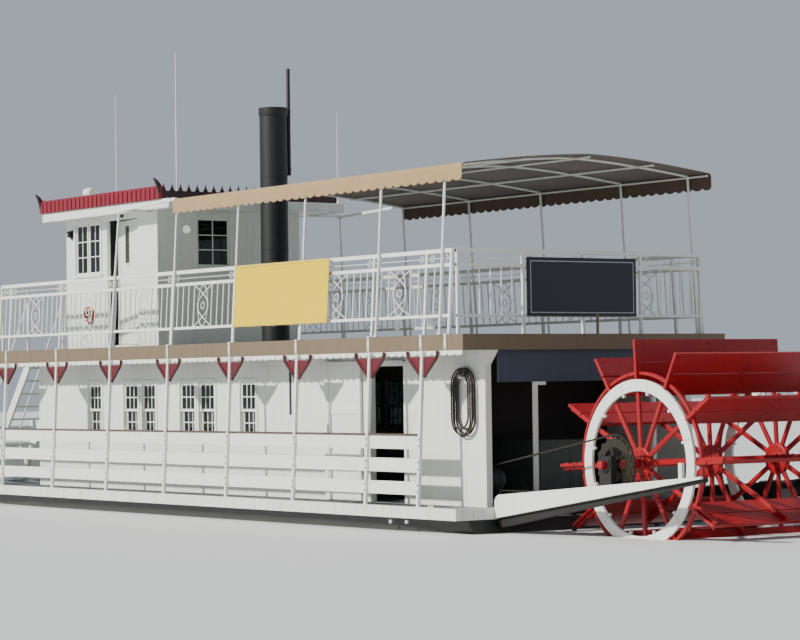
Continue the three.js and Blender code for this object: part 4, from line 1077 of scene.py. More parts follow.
for side, sign in (("port", 1), ("starboard", -1)):
    posts, boards, caps, arms, panels = (bmesh.new() for _ in range(5))
    bolts = []
    for x in POST_X:
        leaning_bar(posts, post_y, x, sign, (POST_FOOT, POST_HEAD), POST_HALF)
        foot_y = sign * post_y(POST_FOOT)
        block(posts, (x - 0.05, x + 0.05), (foot_y - 0.034, foot_y + 0.02), (POST_FOOT, POST_FOOT + 0.008))
        bolts += [(at(x + way * 0.037, foot_y - 0.008, POST_FOOT + 0.009), (0, 0, 1)) for way in (-1, 1)]
        for low, high in BOARD_Z:
            bolts += [(at(x, sign * (post_y(z) + POST_HALF), z), (0, sign, 0.05))
                      for z in (low + 0.045, high - 0.045)]
        curve = smooth_curve(BRACKET_CURVE)
        arm_y = sign * (post_y(2.2) - 0.001)
        for way in (-1, 1):
            sweep(arms, [at(x + way * a, arm_y, z) for a, z in curve],
                  [(-0.014, -0.018), (0.014, -0.018), (0.014, 0.018), (-0.014, 0.018)])
            below = [(x + way * a, z) for a, z in curve if z < PANEL_TOP]
            prism(panels, below + [(x + way * 0.020, below[-1][1]), (x + way * 0.020, PANEL_TOP)], "y",
                  arm_y - sign * 0.012, arm_y - sign * 0.002)
    for low, high in BOARD_Z:
        y = post_y((low + high) / 2) - BOARD_LAP
        for x0, x1 in zip(BOARD_ENDS, BOARD_ENDS[1:]):
            block(boards, (x0 + 0.0015, x1 - 0.0015), (sign * y, sign * (y - BOARD_THICK)), (low, high))
    for x0, x1 in zip(POST_X, POST_X[1:]):
        y = post_y(BOARD_Z[-1][1]) - BOARD_LAP - BOARD_THICK / 2
        block(caps, (x0 + POST_HALF, x1 - POST_HALF), (sign * y - 0.03, sign * y + 0.03), CAP_Z)
    finish_piece(f"post_row_{side}", posts, WHITE_ENAMEL, 0.005,
                 replaced=(f"side_posts_{side}",))
    finish_piece(f"post_boards_{side}", boards, WHITE_ENAMEL, 0.004)
    finish_piece(f"post_caps_{side}", caps, CAP_WOOD, 0.006)
    # The arms take the red darkened as painted shade.
    finish_piece(f"bracket_arms_{side}", arms, BRACKET_RED_SHADED, 0.004)
    finish_piece(f"bracket_panels_{side}", panels, PANEL_RED, 0.002)
    bolted(f"post_bolts_{side}", bolts, GALVANISED, 0.018, 0.006)
print("posts:", 2 * len(POST_X), "boards a side:", 3 * (len(BOARD_ENDS) - 1))

# %% [markdown]
# ## The scalloped trim
# Under the tan fascia hangs a row of white wooden tongues with small notches between them. One tongue is
# drawn once, with a round end, and the row tree sets it along the two sides and the front.

# %% Scalloped trim
TONGUE = 0.164
TRIM_LOW, TRIM_HIGH, TRIM_THICK = 2.276, 2.3395, 0.018
DECK_HALF, DECK_FORE, TRIM_AFT = 2.222, 13.250, 0.020

bm = bmesh.new()
half = TONGUE / 2 - 0.001
outline = [(-half, TRIM_HIGH), (-half, TRIM_LOW + 0.030)]
for k in range(9):
    a = math.pi * k / 8
    outline.append((-0.064 * math.cos(a), TRIM_LOW + 0.012 * (1 - math.sin(a))))
outline += [(half, TRIM_LOW + 0.030), (half, TRIM_HIGH)]
prism(bm, outline, "y", 0.0, TRIM_THICK)
tongue = pattern("tongue", bm)


def tongue_row(start, end):
    """A path of whole tongues between two corners of the deck's edge, and their pitch."""
    length = (end - start).length
    count = round(length / TONGUE)
    step = (end - start) / count
    return [start + step / 2, end - step / 2], length / count


corners = [at(x, y, 0) for x, y in ((DECK_FORE, DECK_HALF), (TRIM_AFT, DECK_HALF), (TRIM_AFT, -DECK_HALF),
                                    (DECK_FORE, -DECK_HALF))]
side_path, side_pitch = tongue_row(corners[0], corners[1])
back_path, _ = tongue_row(corners[2], corners[3])
fore_path, fore_pitch = tongue_row(corners[3], corners[0])
sides_mesh = grown("trim_tongues_sides", ROWS, path_seed(side_path, back_path), WHITE_ENAMEL, tongue,
                   Pitch=side_pitch * 0.9999)
finish_piece("trim_tongues_sides", sides_mesh, WHITE_ENAMEL, 0.003, ("scallop_trim",))
fore_mesh = grown("trim_tongues_fore", ROWS, path_seed(fore_path), WHITE_ENAMEL, tongue,
                  Pitch=fore_pitch * 0.9999)
finish_piece("trim_tongues_fore", fore_mesh, WHITE_ENAMEL, 0.003)
print("tongue pitch:", round(side_pitch, 4), "m, faces:", len(sides_mesh.polygons))

# %% [markdown]
# ## The upper rails
# Around the upper deck stands a rail of three bars on hooked standards, with thin balusters up to the
# middle bar. Every long bay has an open panel with a scrolled ornament, and a thin rod with small rings
# runs in the gap under the top bar. The balusters are one drawn stick that the row tree repeats, and the
# scrolls are swept bars.

# %% Upper rails
RAIL_AFT, RAIL_FORE, CROSS_AFT, CROSS_FORE = 0.356, 13.150, 0.316, 13.180
RAIL_LEAN = 0.063
BAR_Z = [(2.767, 2.807), (3.416, 3.464), (3.597, 3.652)]
BAR_HALF, STANDARD_HALF, STICK_HALF = 0.021, 0.020, 0.0085
LOW_BAR, MID_BAR, TOP_GAP = BAR_Z[0][1], BAR_Z[1][0], 3.530
STICK_PITCH, STICK_LENGTH, PANEL, LONG_BAY = 0.177, 0.656, 0.500, 1.1
STANDARD_X = [0.380] + [x + 0.078 for x in POST_X] + [13.126]
HOOK = [(2.132, 2.5453), (2.2223, 2.5453), (2.2223, 2.352), (2.230, 2.352), (2.230, 2.553), (2.132, 2.553)]
RING_MID, RING_AWAY = 0.041, 0.12


def stick_rows(start, end):
    """Where a bay's rows of balusters begin and end, and its open panel if it is long."""
    if end - start < LONG_BAY:
        return [(start, end)], None
    panel = ((start + end - PANEL) / 2, (start + end + PANEL) / 2)
    return [(start, panel[0]), (panel[1], end)], panel


def scroll_lines(half_width, low, high):
    """The ornament of a panel as flat (along, height) curves: an oval, two crossing arcs and a ring."""
    middle, reach = (low + high) / 2, (high - low) / 2
    turn = [2 * math.pi * k / 32 for k in range(32)]
    oval = [(half_width * 0.56 * math.sin(a), middle + reach * math.cos(a)) for a in turn]
    small = [(0.050 * math.sin(a), middle + 0.050 * math.cos(a)) for a in turn[::2]]
    arcs = [[(way * half_width * (1 - 1.62 * math.sin(math.pi * (k / 16))), low + 2 * reach * k / 16)
             for k in range(17)] for way in (-1, 1)]
    return [(oval, True), (small, True)] + [(curve, False) for curve in arcs]


bm = bmesh.new()
bmesh.ops.create_cube(bm, size=1.0)
bmesh.ops.scale(bm, verts=bm.verts, vec=(2 * STICK_HALF, 2 * STICK_HALF, STICK_LENGTH))
bmesh.ops.translate(bm, verts=bm.verts, vec=(0, 0, STICK_LENGTH / 2))
bmesh.ops.bevel(bm, geom=[e for e in bm.edges if abs((e.verts[0].co - e.verts[1].co).z) > 0.1],
                offset=0.003, segments=1, affect="EDGES")
stick = kept_mesh("baluster", bm)


def rail_run(name, body_point, stations, ends, up=(0, 0, 1), extras=None):
    """One straight run of rail. body_point(along, height, out) gives a place, out being off the boat."""
    frame_bm, scrolls, rod_bm, sticks = (bmesh.new() for _ in range(4))

    def bar(bm, a0, a1, z0, z1, half):
        corners = [[body_point(a, z, out) for a in (a0, a1)] for z, out in
                   ((z0, -half), (z0, half), (z1, half), (z1, -half))]
        verts = [[bm.verts.new(p) for p in row] for row in corners]
        faces = [bm.faces.new([row[0] for row in verts]), bm.faces.new([row[1] for row in verts][::-1])]
        for i in range(4):
            j = (i + 1) % 4
            faces.append(bm.faces.new((verts[i][0], verts[i][1], verts[j][1], verts[j][0])))
        bmesh.ops.recalc_face_normals(bm, faces=faces)

    for z0, z1 in BAR_Z:
        bar(frame_bm, *ends, z0, z1, BAR_HALF)
    for a in stations:
        bar(frame_bm, a - STANDARD_HALF, a + STANDARD_HALF, DECK_EDGE_TOP - 0.0047, BAR_Z[-1][1] - 0.002,
            STANDARD_HALF)
        for way in (-1, 1):
            middle = a + way * RING_AWAY
            if ends[0] < middle < ends[1]:
                tube(rod_bm, [body_point(middle + u, TOP_GAP + v, 0) for u, v in circle(RING_MID, 16)], 0.006,
                     6, closed=True)
    tube(rod_bm, [body_point(a, TOP_GAP, 0) for a in (ends[0] + 0.01, ends[1] - 0.01)], 0.005, 8)
    pitches = {}
    for start, end in zip(stations, stations[1:]):
        rows_of_sticks, panel = stick_rows(start, end)
        for a, b in rows_of_sticks:
            pitch = (b - a) / round((b - a) / STICK_PITCH)
            foot = [body_point(c, LOW_BAR - 0.020, 0) for c in (a, b)]
            pitches.setdefault(round(pitch, 5), []).append(foot)
        if panel:
            middle = sum(panel) / 2
            for curve, closed in scroll_lines(PANEL / 2 - STICK_HALF, LOW_BAR + 0.006, MID_BAR - 0.006):
                tube(scrolls, [body_point(middle + a, z, 0) for a, z in curve], 0.007, 6, closed=closed)
    for pitch, paths in pitches.items():
        add_row(sticks, stick, WHITE_ENAMEL, pitch, paths, up)
    if extras:
        extras(frame_bm)
    finish_piece(name + "_finished", frame_bm, WHITE_ENAMEL, 0.004, replaced=(name,))
    finish_piece(name + "_sticks", sticks, WHITE_ENAMEL)
    if scrolls.verts:
        finish_piece(name + "_scrolls", scrolls, WHITE_ENAMEL)
    finish_piece(name + "_rod", rod_bm, WHITE_ENAMEL)


for side, sign in (("port", 1), ("starboard", -1)):
    def hooks(bm, sign=sign):
        """The feet that hook over the deck's edge and run down the fascia."""
        for x in STANDARD_X:
            prism(bm, [(sign * y, z) for y, z in HOOK], "x", x - 0.023, x + 0.023)

    rail_run(f"upper_rail_{side}", lambda a, z, out, sign=sign: at(a, sign * (rail_y(z) + out), z),
             STANDARD_X, (RAIL_AFT, RAIL_FORE), up=(0, -sign * RAIL_LEAN, 1), extras=hooks)
    bolted(f"strap_bolts_{side}",
           [(at(x, sign * HOOK[-2][0], z), (0, sign, 0)) for x in STANDARD_X for z in (2.375, 2.515)],
           GALVANISED, 0.013, 0.005)
rail_run("upper_rail_aft", lambda a, z, out: at(CROSS_AFT - out, a, z), [-2.060, -1.0, 0.0, 1.0, 2.060],
         (-2.080, 2.080))
rail_run("upper_rail_front", lambda a, z, out: at(CROSS_FORE + out, a, z), [-2.060, -1.0, 0.0, 0.810],
         (-2.080, 0.830))
rail_run("upper_rail_front_port", lambda a, z, out: at(CROSS_FORE + out, a, z), [1.590, 2.060],
         (1.570, 2.080))
print("standards a side:", len(STANDARD_X))

# %% [markdown]
# ## Windows
# The cabin has double-hung windows: two sashes, one above the other, each with six small panes. The
# pilothouse has casements in pairs. A window is a frame in the hole, one or two sashes of stiles, rails and
# thin glazing bars, a casing on the wall's face, a sill, and one sheet of glass. One function draws any of
# them from a table of openings, on a wall that faces along x or along y.

# %% Windows of the cabin and pilothouse
CASING, CASING_THICK = 0.055, 0.014
SASH_EDGE, GLAZING_BAR = 0.038, 0.016


def window(frames, panes, axis, face, out, across, heights, sashes, casing=CASING):
    """Draws one window. Sashes are rows of (direction, share from, share to, columns, rows, step inward)."""
    (a0, a1), (z0, z1) = across, heights

    def stick(bm, a_from, a_to, z_from, z_to, near, far):
        depths = (face + out * near, face + out * far)
        if axis == "y":
            block(bm, (a_from, a_to), depths, (z_from, z_to))
        else:
            block(bm, depths, (a_from, a_to), (z_from, z_to))

    if casing:
        for a in (a0 - casing, a1):
            stick(frames, a, a + casing, z0 - 0.01, z1 + casing, -0.002, CASING_THICK)
        stick(frames, a0, a1, z1, z1 + casing, -0.002, CASING_THICK - 0.001)
        stick(frames, a0 - casing - 0.015, a1 + casing + 0.015, z0 - 0.045, z0 - 0.010, -0.002, 0.034)
        stick(frames, a0, a1, z0 - 0.010, z0 + 0.006, -0.055, 0.026)
    for along, low, high, columns, rows, step in sashes:
        if along == "height":
            s0, s1, t0, t1 = a0, a1, z0 + (z1 - z0) * low, z0 + (z1 - z0) * high
        else:
            s0, s1, t0, t1 = a0 + (a1 - a0) * low, a0 + (a1 - a0) * high, z0, z1
        near, far = -step, -step - 0.030
        inner = (s0 + SASH_EDGE, s1 - SASH_EDGE, t0 + SASH_EDGE, t1 - SASH_EDGE)
        for part in ((s0, inner[0], t0, t1), (inner[1], s1, t0, t1), (*inner[:2], t0, inner[2]),
                     (*inner[:2], inner[3], t1)):
            stick(frames, *part, near, far)
        half = GLAZING_BAR / 2
        for k in range(1, columns):
            a = inner[0] + (inner[1] - inner[0]) * k / columns
            stick(frames, a - half, a + half, inner[2], inner[3], near - 0.004, far + 0.004)
        for k in range(1, rows):
            z = inner[2] + (inner[3] - inner[2]) * k / rows
            stick(frames, inner[0], inner[1], z - half, z + half, near - 0.005, far + 0.005)
        stick(panes, s0 + 0.02, s1 - 0.02, t0 + 0.02, t1 - 0.02, near - 0.013, near - 0.018)


DOUBLE_HUNG = [("height", 0.0, 0.53, 3, 2, 0.045), ("height", 0.47, 1.0, 3, 2, 0.012)]
CASEMENTS = [("width", 0.0, 0.48, 2, 3, 0.012), ("width", 0.52, 1.0, 2, 3, 0.012)]
SINGLE = [("height", 0.0, 1.0, 2, 3, 0.012)]
CABIN_Z, HOUSE_Z = (1.160, 1.975), (3.773, 4.612)
CABIN_X = [(5.711, 6.134), (6.867, 7.317), (7.440, 7.876), (8.625, 9.039), (9.172, 9.617), (10.351, 10.771)]
# Columns: axis it faces along, wall face, outward sign, openings, heights, sashes
OPENINGS = [
    ("y", 1.750, 1, CABIN_X, CABIN_Z, DOUBLE_HUNG), ("y", -1.750, -1, CABIN_X, CABIN_Z, DOUBLE_HUNG),
    ("x", 12.500, 1, [(-1.350, -0.750), (0.750, 1.350)], CABIN_Z, DOUBLE_HUNG),
    ("y", 1.333, 1, [(11.100, 11.932)], HOUSE_Z, CASEMENTS),
    ("y", -1.333, -1, [(11.100, 11.932)], HOUSE_Z, CASEMENTS),
    ("x", 12.270, 1, [(y - 0.340, y + 0.340) for y in (-0.840, 0.0, 0.840)], HOUSE_Z, SINGLE),
    ("x", 9.240, -1, [(0.0, 0.615)], (3.820, 4.600), SINGLE),
]
frames, panes = bmesh.new(), bmesh.new()
for axis, face, out, openings, heights, sashes in OPENINGS:
    for across in openings:
        window(frames, panes, axis, face, out, across, heights, sashes, 0.048 if face > 9 else CASING)
for sign in (1, -1):
    block(frames, (11.499, 11.533), (sign * 1.285, sign * 1.340), HOUSE_Z)
finish_piece("window_frames", frames, WHITE_ENAMEL, 0.0025)
finish_piece("window_glass", panes, WINDOW_GLASS_SHADED, smooth=False)
print("windows:", sum(len(row[3]) for row in OPENINGS))

# %% [markdown]
# ## Doors
# The side doors are framed leaves that hang from rollers and slide on a track. The front door and the two
# pilothouse doors swing. Every leaf is drawn in its own flat measures, length by height by thickness:
# stiles and rails round thinner panels, glass in the upper part, and a handle. A matrix then sets it on its
# body, where the solid model left it, so the port pilothouse door stands ajar by the same nine degrees.

# %% Door leaves, handles, hangers and tracks
STILE, LEAF_THICK = 0.09, 0.040
# Columns: distance from the leaf's face, height above the grip's foot
GRIP = [(0.0, 0.0), (0.006, 0.004), (0.0075, 0.03), (0.0075, 0.09), (0.006, 0.116), (0.0, 0.12)]


def door_leaf(name, place, length, height, light, panels, handle_at, light_share=(0.0, 1.0)):
    """A framed leaf drawn from its lower hinge corner. Light is the glazed height, or None."""
    body = frame["nodes"][name]["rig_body"]
    wood, metal, glass = bmesh.new(), bmesh.new(), bmesh.new()
    mid = LEAF_THICK / 2

    def slab_of(bm, a0, a1, z0, z1, half):
        block(bm, (a0, a1), (mid - half, mid + half), (z0, z1))

    slab_of(wood, 0, STILE, 0, height, mid)
    slab_of(wood, length - STILE, length, 0, height, mid)
    levels = [0.0] + [share * height for share in panels] + [height]
    for z in levels:
        reach = STILE * (0.5 if 0 < z < height else 1.0)
        low, high = max(0.0, z - reach), min(height, z + reach)
        slab_of(wood, STILE - 0.001, length - STILE + 0.001, low, high, mid - 0.0005)
    for low, high in zip(levels, levels[1:]):
        if light and low < sum(light) / 2 < high:
            a0, a1 = (STILE + (length - 2 * STILE) * share for share in light_share)
            if light_share != (0.0, 1.0):
                for part in ((STILE - 0.001, a0, low, high), (a1, length - STILE + 0.001, low, high),
                             (a0, a1, low, light[0]), (a0, a1, light[1], high)):
                    slab_of(wood, *part, mid - 0.012)
                for a in (a0, a1):
                    slab_of(wood, a - 0.012, a + 0.012, light[0], light[1], mid - 0.002)
                for z in light:
                    slab_of(wood, a0 - 0.012, a1 + 0.012, z - 0.012, z + 0.012, mid - 0.002)
            slab_of(glass, a0 - 0.004, a1 + 0.004, max(low, light[0]) + 0.004, min(high, light[1]) - 0.004,
                    0.003)
        else:
            slab_of(wood, STILE - 0.002, length - STILE + 0.002, low, high, mid - 0.012)
    a, z = handle_at
    for out in (-1, 1):
        face = mid + out * mid
        block(metal, (a - 0.014, a + 0.014), (face - out * 0.001, face + out * 0.004), (z - 0.09, z + 0.09))
        tube(metal, [at(a, face + out * s, z - 0.06 + t) for s, t in GRIP], 0.004, 8)
    shift = Matrix.Translation(-at(0, 0, 0))
    for suffix, bm, slot, material, bevel in (("leaf", wood, "white_paint", WHITE_ENAMEL, 0.003),
                                              ("handle", metal, "oiled_steel", GALVANISED, 0.0),
                                              ("pane", glass, "white_paint", WINDOW_GLASS_SHADED, 0.0)):
        if not bm.verts:
            bm.free()
            continue
        bm.transform(place @ shift)
        bmesh.ops.recalc_face_normals(bm, faces=bm.faces)
        finish_piece(f"{name}_{suffix}", bm, material, bevel, (name,) if suffix == "leaf" else (), body)


for side, sign, aft in (("port", 1, 2.950), ("starboard", -1, 1.950)):
    origin = at(aft, 1.762 if sign > 0 else -1.802, 0.332)
    door_leaf(f"cabin_door_{side}", Matrix.Translation(origin), 0.880, 1.853, None, (0.33, 0.66),
              (0.80, 0.95))
    hangers, tracks = bmesh.new(), bmesh.new()
    for a in (0.14, 0.74):
        block(hangers, (aft + a - 0.02, aft + a + 0.02), (origin.y + 0.016, origin.y + 0.024), (2.150, 2.192))
    finish_piece(f"cabin_door_{side}_hangers", hangers, GALVANISED, 0.002,
                 body=f"{side}_cabin_door")
    y = sign * 1.812
    prism(tracks, [(y - 0.008, 2.160), (y, 2.160), (y, 2.236), (y - 0.008, 2.236)], "x", 1.930, 3.850)
    finish_piece(f"cabin_door_{side}_track", tracks, WHITE_ENAMEL, 0.002)
door_leaf("cabin_door_front",
          Matrix.Translation(at(12.450, 0.392, 0.332)) @ Matrix.Rotation(-math.pi / 2, 4, "Z"),
          0.784, 1.860, (1.05, 1.74), (0.5,), (0.70, 0.93))
for side, sign, ajar in (("port", 1, -9.0), ("starboard", -1, 0.0)):
    hinge = at(9.850, sign * 1.265, 2.608)
    inset = Matrix.Translation((0.010, 0.002 if sign > 0 else -0.042, 0.0))
    door_leaf(f"pilothouse_door_{side}",
              Matrix.Translation(hinge) @ Matrix.Rotation(math.radians(ajar), 4, "Z") @ inset,
              1.000, 2.004, (1.302, 1.942), (0.5,), (0.93, 1.02), (0.440, 0.700))
print("doors: 5 leaves")

# %% [markdown]
# ## Roof edge, funnel and aerials
# The pilothouse roof is edged with pressed red sheet iron, ribbed like tiles, with a row of pointed spikes
# and a horn at each corner that leans outwards. The spikes, the horns and the bands at the aft and fore ends
# are painted a darker red as shade. The ribs and spikes are each drawn once and set along the edge by the
# row tree. Under the roof runs a small white dentil. The funnel and the whips are turned profiles.

# %% Cresting, dentils, lamps and searchlight
ROOF_AFT, ROOF_FORE, ROOF_HALF, ROOF_UNDER, ROOF_TOP = 8.360, 12.550, 1.630, 4.7003, 4.8303
CREST_AFT, CREST_OUT, SIDE_TOP, CREST_TOP, CREST_TIP = 8.570, 0.030, 5.040, 4.960, 5.075
RIB_PITCH, SPIKE_PITCH, DENTIL_PITCH = 0.145, 0.150, 0.100
HORN = [(1.600, 4.835), (1.662, 4.835), (1.672, 4.900), (1.690, 4.990), (1.722, 5.080), (1.758, 5.158),
        (1.700, 5.120), (1.640, 5.060), (1.606, 5.010), (1.600, 4.960)]

aft_x, fore_x, side_y = CREST_AFT, ROOF_FORE + CREST_OUT, ROOF_HALF + CREST_OUT


def ridge(top):
    """Section through the cresting, as (distance out from its outer face, z)."""
    return [(0.0, ROOF_TOP), (0.0, top - 0.012), (-0.010, top), (-0.030, top), (-0.040, top - 0.012),
            (-0.040, ROOF_TOP)]


band, shaded_band, horns = bmesh.new(), bmesh.new(), bmesh.new()
for sign in (1, -1):
    prism(band, [(sign * (side_y + d), z) for d, z in ridge(SIDE_TOP)], "x", aft_x, fore_x)
    for x, lean in ((aft_x, 1), (fore_x - 0.060, -1)):
        prism(horns, [(sign * y, z) for y, z in HORN], "x", x + lean * 0.004, x + 0.060 + lean * 0.004)
for x, way in ((aft_x, -1), (fore_x, 1)):
    prism(shaded_band, [(x + way * d, z) for d, z in ridge(CREST_TOP)], "y", -side_y + 0.041, side_y - 0.041)
finish_piece("crest_band", band, CRESTING_RED, 0.004, replaced=("roof_cresting",))
# The end bands and the horns get the cresting red darkened as painted shade.
finish_piece("crest_ends", shaded_band, CREST_RED_SHADED, 0.004)
finish_piece("crest_horns", horns, CREST_RED_SHADED, 0.008)

bm = bmesh.new()
prism(bm, [(-0.045, CREST_TOP - 0.004), (-0.030, CREST_TOP + 0.028), (-0.012, CREST_TOP + 0.062),
           (0.0, CREST_TIP - 0.004), (0.012, CREST_TOP + 0.062), (0.030, CREST_TOP + 0.028),
           (0.045, CREST_TOP - 0.004)], "y", 0.012, 0.028)
spike = pattern("crest_spike", bm)
bm = bmesh.new()
prism(bm, [(-0.046, ROOF_TOP + 0.004), (0.046, ROOF_TOP + 0.004), (0.046, SIDE_TOP - 0.040),
           (0.028, SIDE_TOP - 0.016), (-0.028, SIDE_TOP - 0.016), (-0.046, SIDE_TOP - 0.040)],
      "y", -0.014, 0.004)
rib = pattern("crest_rib", bm)
bm = bmesh.new()
prism(bm, [(-0.042, 0.0), (0.042, 0.0), (0.042, -0.008), (0.024, -0.018), (-0.024, -0.018),
           (-0.042, -0.008)], "y", 0.0, 0.016)
dentil = pattern("roof_dentil", bm)


def edge_paths(aft, fore, half, pitch):
    """The four sides of a rectangle, walked so that a shape's y points inwards, and each one's even pitch."""
    corners = [Vector((x, y, 0)) for x, y in ((fore, half), (aft, half), (aft, -half), (fore, -half))]
    paths = []
    for start, end in zip(corners, corners[1:] + corners[:1]):
        count = round((end - start).length / pitch)
        step = (end - start) / count
        paths.append(([at(*(start + step / 2)), at(*(end - step / 2))], step.length))
    return paths


# Columns: name, shape, rectangle, pitch, finish, height, slot, the sides of the rectangle that have it
EDGE_ROWS = [
    ("crest_spikes", spike, (aft_x, fore_x, side_y), SPIKE_PITCH, CREST_RED_SHADED, 0.0, "red_paint", (1, 3)),
    ("crest_ribs", rib, (aft_x, fore_x, side_y), RIB_PITCH, CRESTING_RED, 0.0, "red_paint", (0, 2)),
    ("roof_dentils", dentil, (ROOF_AFT, ROOF_FORE, ROOF_HALF), DENTIL_PITCH, WHITE_ENAMEL, ROOF_UNDER,
     "white_paint", (0, 1, 2, 3)),
]
for name, shape, rectangle, pitch, paint, height, slot, sides in EDGE_ROWS:
    row_bm = bmesh.new()
    paths = edge_paths(*rectangle, pitch)
    for path, step in (paths[k] for k in sides):
        add_row(row_bm, shape, paint, step, [[p + Vector((0, 0, height)) for p in path]])
    finish_piece(name, row_bm, paint, 0.003 if name == "crest_ribs" else 0.0)

bm = bmesh.new()
turned(bm, at(9.240, 0.810, 4.410), (-1, 0, 0), [(0.0, 0.075), (0.012, 0.078), (0.020, 0.070)], 24)
finish_piece("wall_lamp_base", bm, WHITE_FIBREGLASS)
bm = bmesh.new()
dome = [(0.055 * math.sin(a), 0.066 * math.cos(a)) for a in (math.pi / 2 * k / 6 for k in range(6))]
turned(bm, at(9.220, 0.810, 4.410), (-1, 0, 0), dome + [(0.055, 0.0)], 24)
finish_piece("wall_lamp_glass", bm, LAMP_GLASS)
bm = bmesh.new()
block(bm, (12.020, 12.110), (1.333, 1.350), (4.390, 4.530))
turned(bm, at(12.065, 1.385, 4.415), (0, 0, 1),
       [(0.0, 0.032), (0.012, 0.042), (0.030, 0.042), (0.034, 0.034), (0.074, 0.034), (0.078, 0.042),
        (0.096, 0.042), (0.106, 0.020)], 20)
block(bm, (10.320, 10.400), (1.333, 1.372), (4.650, 4.690))
finish_piece("side_lamp", bm, BLACK_PLASTIC, 0.002)

bm = bmesh.new()
turned(bm, at(12.050, 1.000, ROOF_TOP), (0, 0, 1),
       [(0.0, 0.060), (0.014, 0.060), (0.020, 0.028), (0.240, 0.024), (0.256, 0.060), (0.270, 0.060)], 20)
turned(bm, at(11.950, 1.000, 5.170), (1, 0, 0),
       [(0.0, 0.030), (0.006, 0.066), (0.045, 0.082), (0.170, 0.085), (0.200, 0.085), (0.202, 0.076),
        (0.212, 0.076), (0.216, 0.0)], 28)
finish_piece("searchlight_body", bm, WHITE_FIBREGLASS, replaced=("searchlight",))
bm = bmesh.new()
turned(bm, at(12.162, 1.000, 5.170), (1, 0, 0),
       [(0.0, 0.074), (0.004, 0.074), (0.010, 0.040), (0.011, 0.0)], 28)
finish_piece("searchlight_lens", bm, BLACK_PLASTIC)
print("roof edge rows:", len(EDGE_ROWS))

# %% [markdown]
# ## Funnel, whips, life ring and sign board
# The funnel is rolled sheet iron in three lengths, so a profile with a low band at each joint is turned once,
# hollow at the top. A thin exhaust pipe runs up beside it on two straps. The whips taper like fishing rods,
# the life ring is a swept circle with four bands, and the sign board keeps only its pale border line.

# %% Funnel, whips, life ring and sign board
FUNNEL_X, FUNNEL_R, FUNNEL_TOP, DECK_TOP = 7.900, 0.215, 6.250, 2.5403
PIPE_IN = -0.195
bm = bmesh.new()
turned(bm, at(FUNNEL_X, 0, 0), (0, 0, 1), [
    (DECK_TOP, 0.0), (DECK_TOP, 0.226), (DECK_TOP + 0.03, 0.226), (DECK_TOP + 0.036, FUNNEL_R),
    (4.020, FUNNEL_R), (4.024, 0.219), (4.056, 0.219), (4.060, FUNNEL_R),
    (5.160, FUNNEL_R), (5.164, 0.219), (5.196, 0.219),
    (5.200, FUNNEL_R), (6.118, FUNNEL_R), (6.122, 0.222), (6.140, 0.226), (FUNNEL_TOP - 0.006, 0.227),
    (FUNNEL_TOP, 0.222), (FUNNEL_TOP, 0.206), (FUNNEL_TOP - 0.010, 0.200), (FUNNEL_TOP - 0.300, 0.200),
    (FUNNEL_TOP - 0.300, 0.0)], 64)
pipe_x, pipe_y = FUNNEL_X - 0.040, -0.260
turned(bm, at(pipe_x, pipe_y, 0), (0, 0, 1), [(5.200, 0.0), (5.200, 0.030), (6.868, 0.030), (6.880, 0.026),
                                              (6.880, 0.022), (6.600, 0.022), (6.600, 0.0)], 20)
for z in (5.300, 6.200):
    block(bm, (pipe_x - 0.015, pipe_x + 0.015), (pipe_y, PIPE_IN), (z - 0.012, z + 0.012))
    turned(bm, at(pipe_x, pipe_y, z - 0.016), (0, 0, 1),
           [(0.0, 0.031), (0.0, 0.036), (0.032, 0.036), (0.032, 0.031)], 20)
finish_piece("stack", bm, STACK_BLACK, replaced=("funnel",))

# Columns: node, x, y, top, radius at the foot
WHIPS = [("antenna_port", 8.840, 1.200, 7.150, 0.014), ("antenna_fore", 11.320, 0.900, 6.750, 0.010),
         ("antenna_starboard", 8.420, -1.550, 6.300, 0.010)]
for node, x, y, top, radius in WHIPS:
    bm = bmesh.new()
    foot = [(ROOF_TOP + up, r) for up, r in ((0.0, 0.0), (0.0, 0.026), (0.010, 0.026), (0.018, 0.018),
                                             (0.100, 0.017), (0.104, radius), (0.9, radius * 0.92))]
    turned(bm, at(x, y, 0), (0, 0, 1),
           foot + [(top - 0.020, radius * 0.45), (top, radius * 0.30), (top, 0.0)], 14)
    finish_piece(node + "_whip", bm, WHITE_FIBREGLASS, replaced=(node,))

RING_PLACE, RING_RADIUS, RING_THICK, BAND_WIDE = at(11.460, 1.365, 3.110), 0.115, 0.030, 0.028
bm = bmesh.new()
tube(bm, [RING_PLACE + Vector((u, 0, v)) for u, v in circle(RING_RADIUS, 40)], RING_THICK, 14, closed=True)
finish_piece("life_ring", bm, BUOY_RED)
bm = bmesh.new()
for k in range(4):
    a = math.pi / 4 + math.pi / 2 * k
    out, along = Vector((math.cos(a), 0, math.sin(a))), Vector((-math.sin(a), 0, math.cos(a)))
    turned(bm, RING_PLACE + out * RING_RADIUS - along * (BAND_WIDE / 2), along,
           [(0.0, RING_THICK), (0.0, 0.0325), (BAND_WIDE, 0.0325), (BAND_WIDE, RING_THICK)], 14)
finish_piece("life_ring_bands", bm, WHITE_FIBREGLASS)

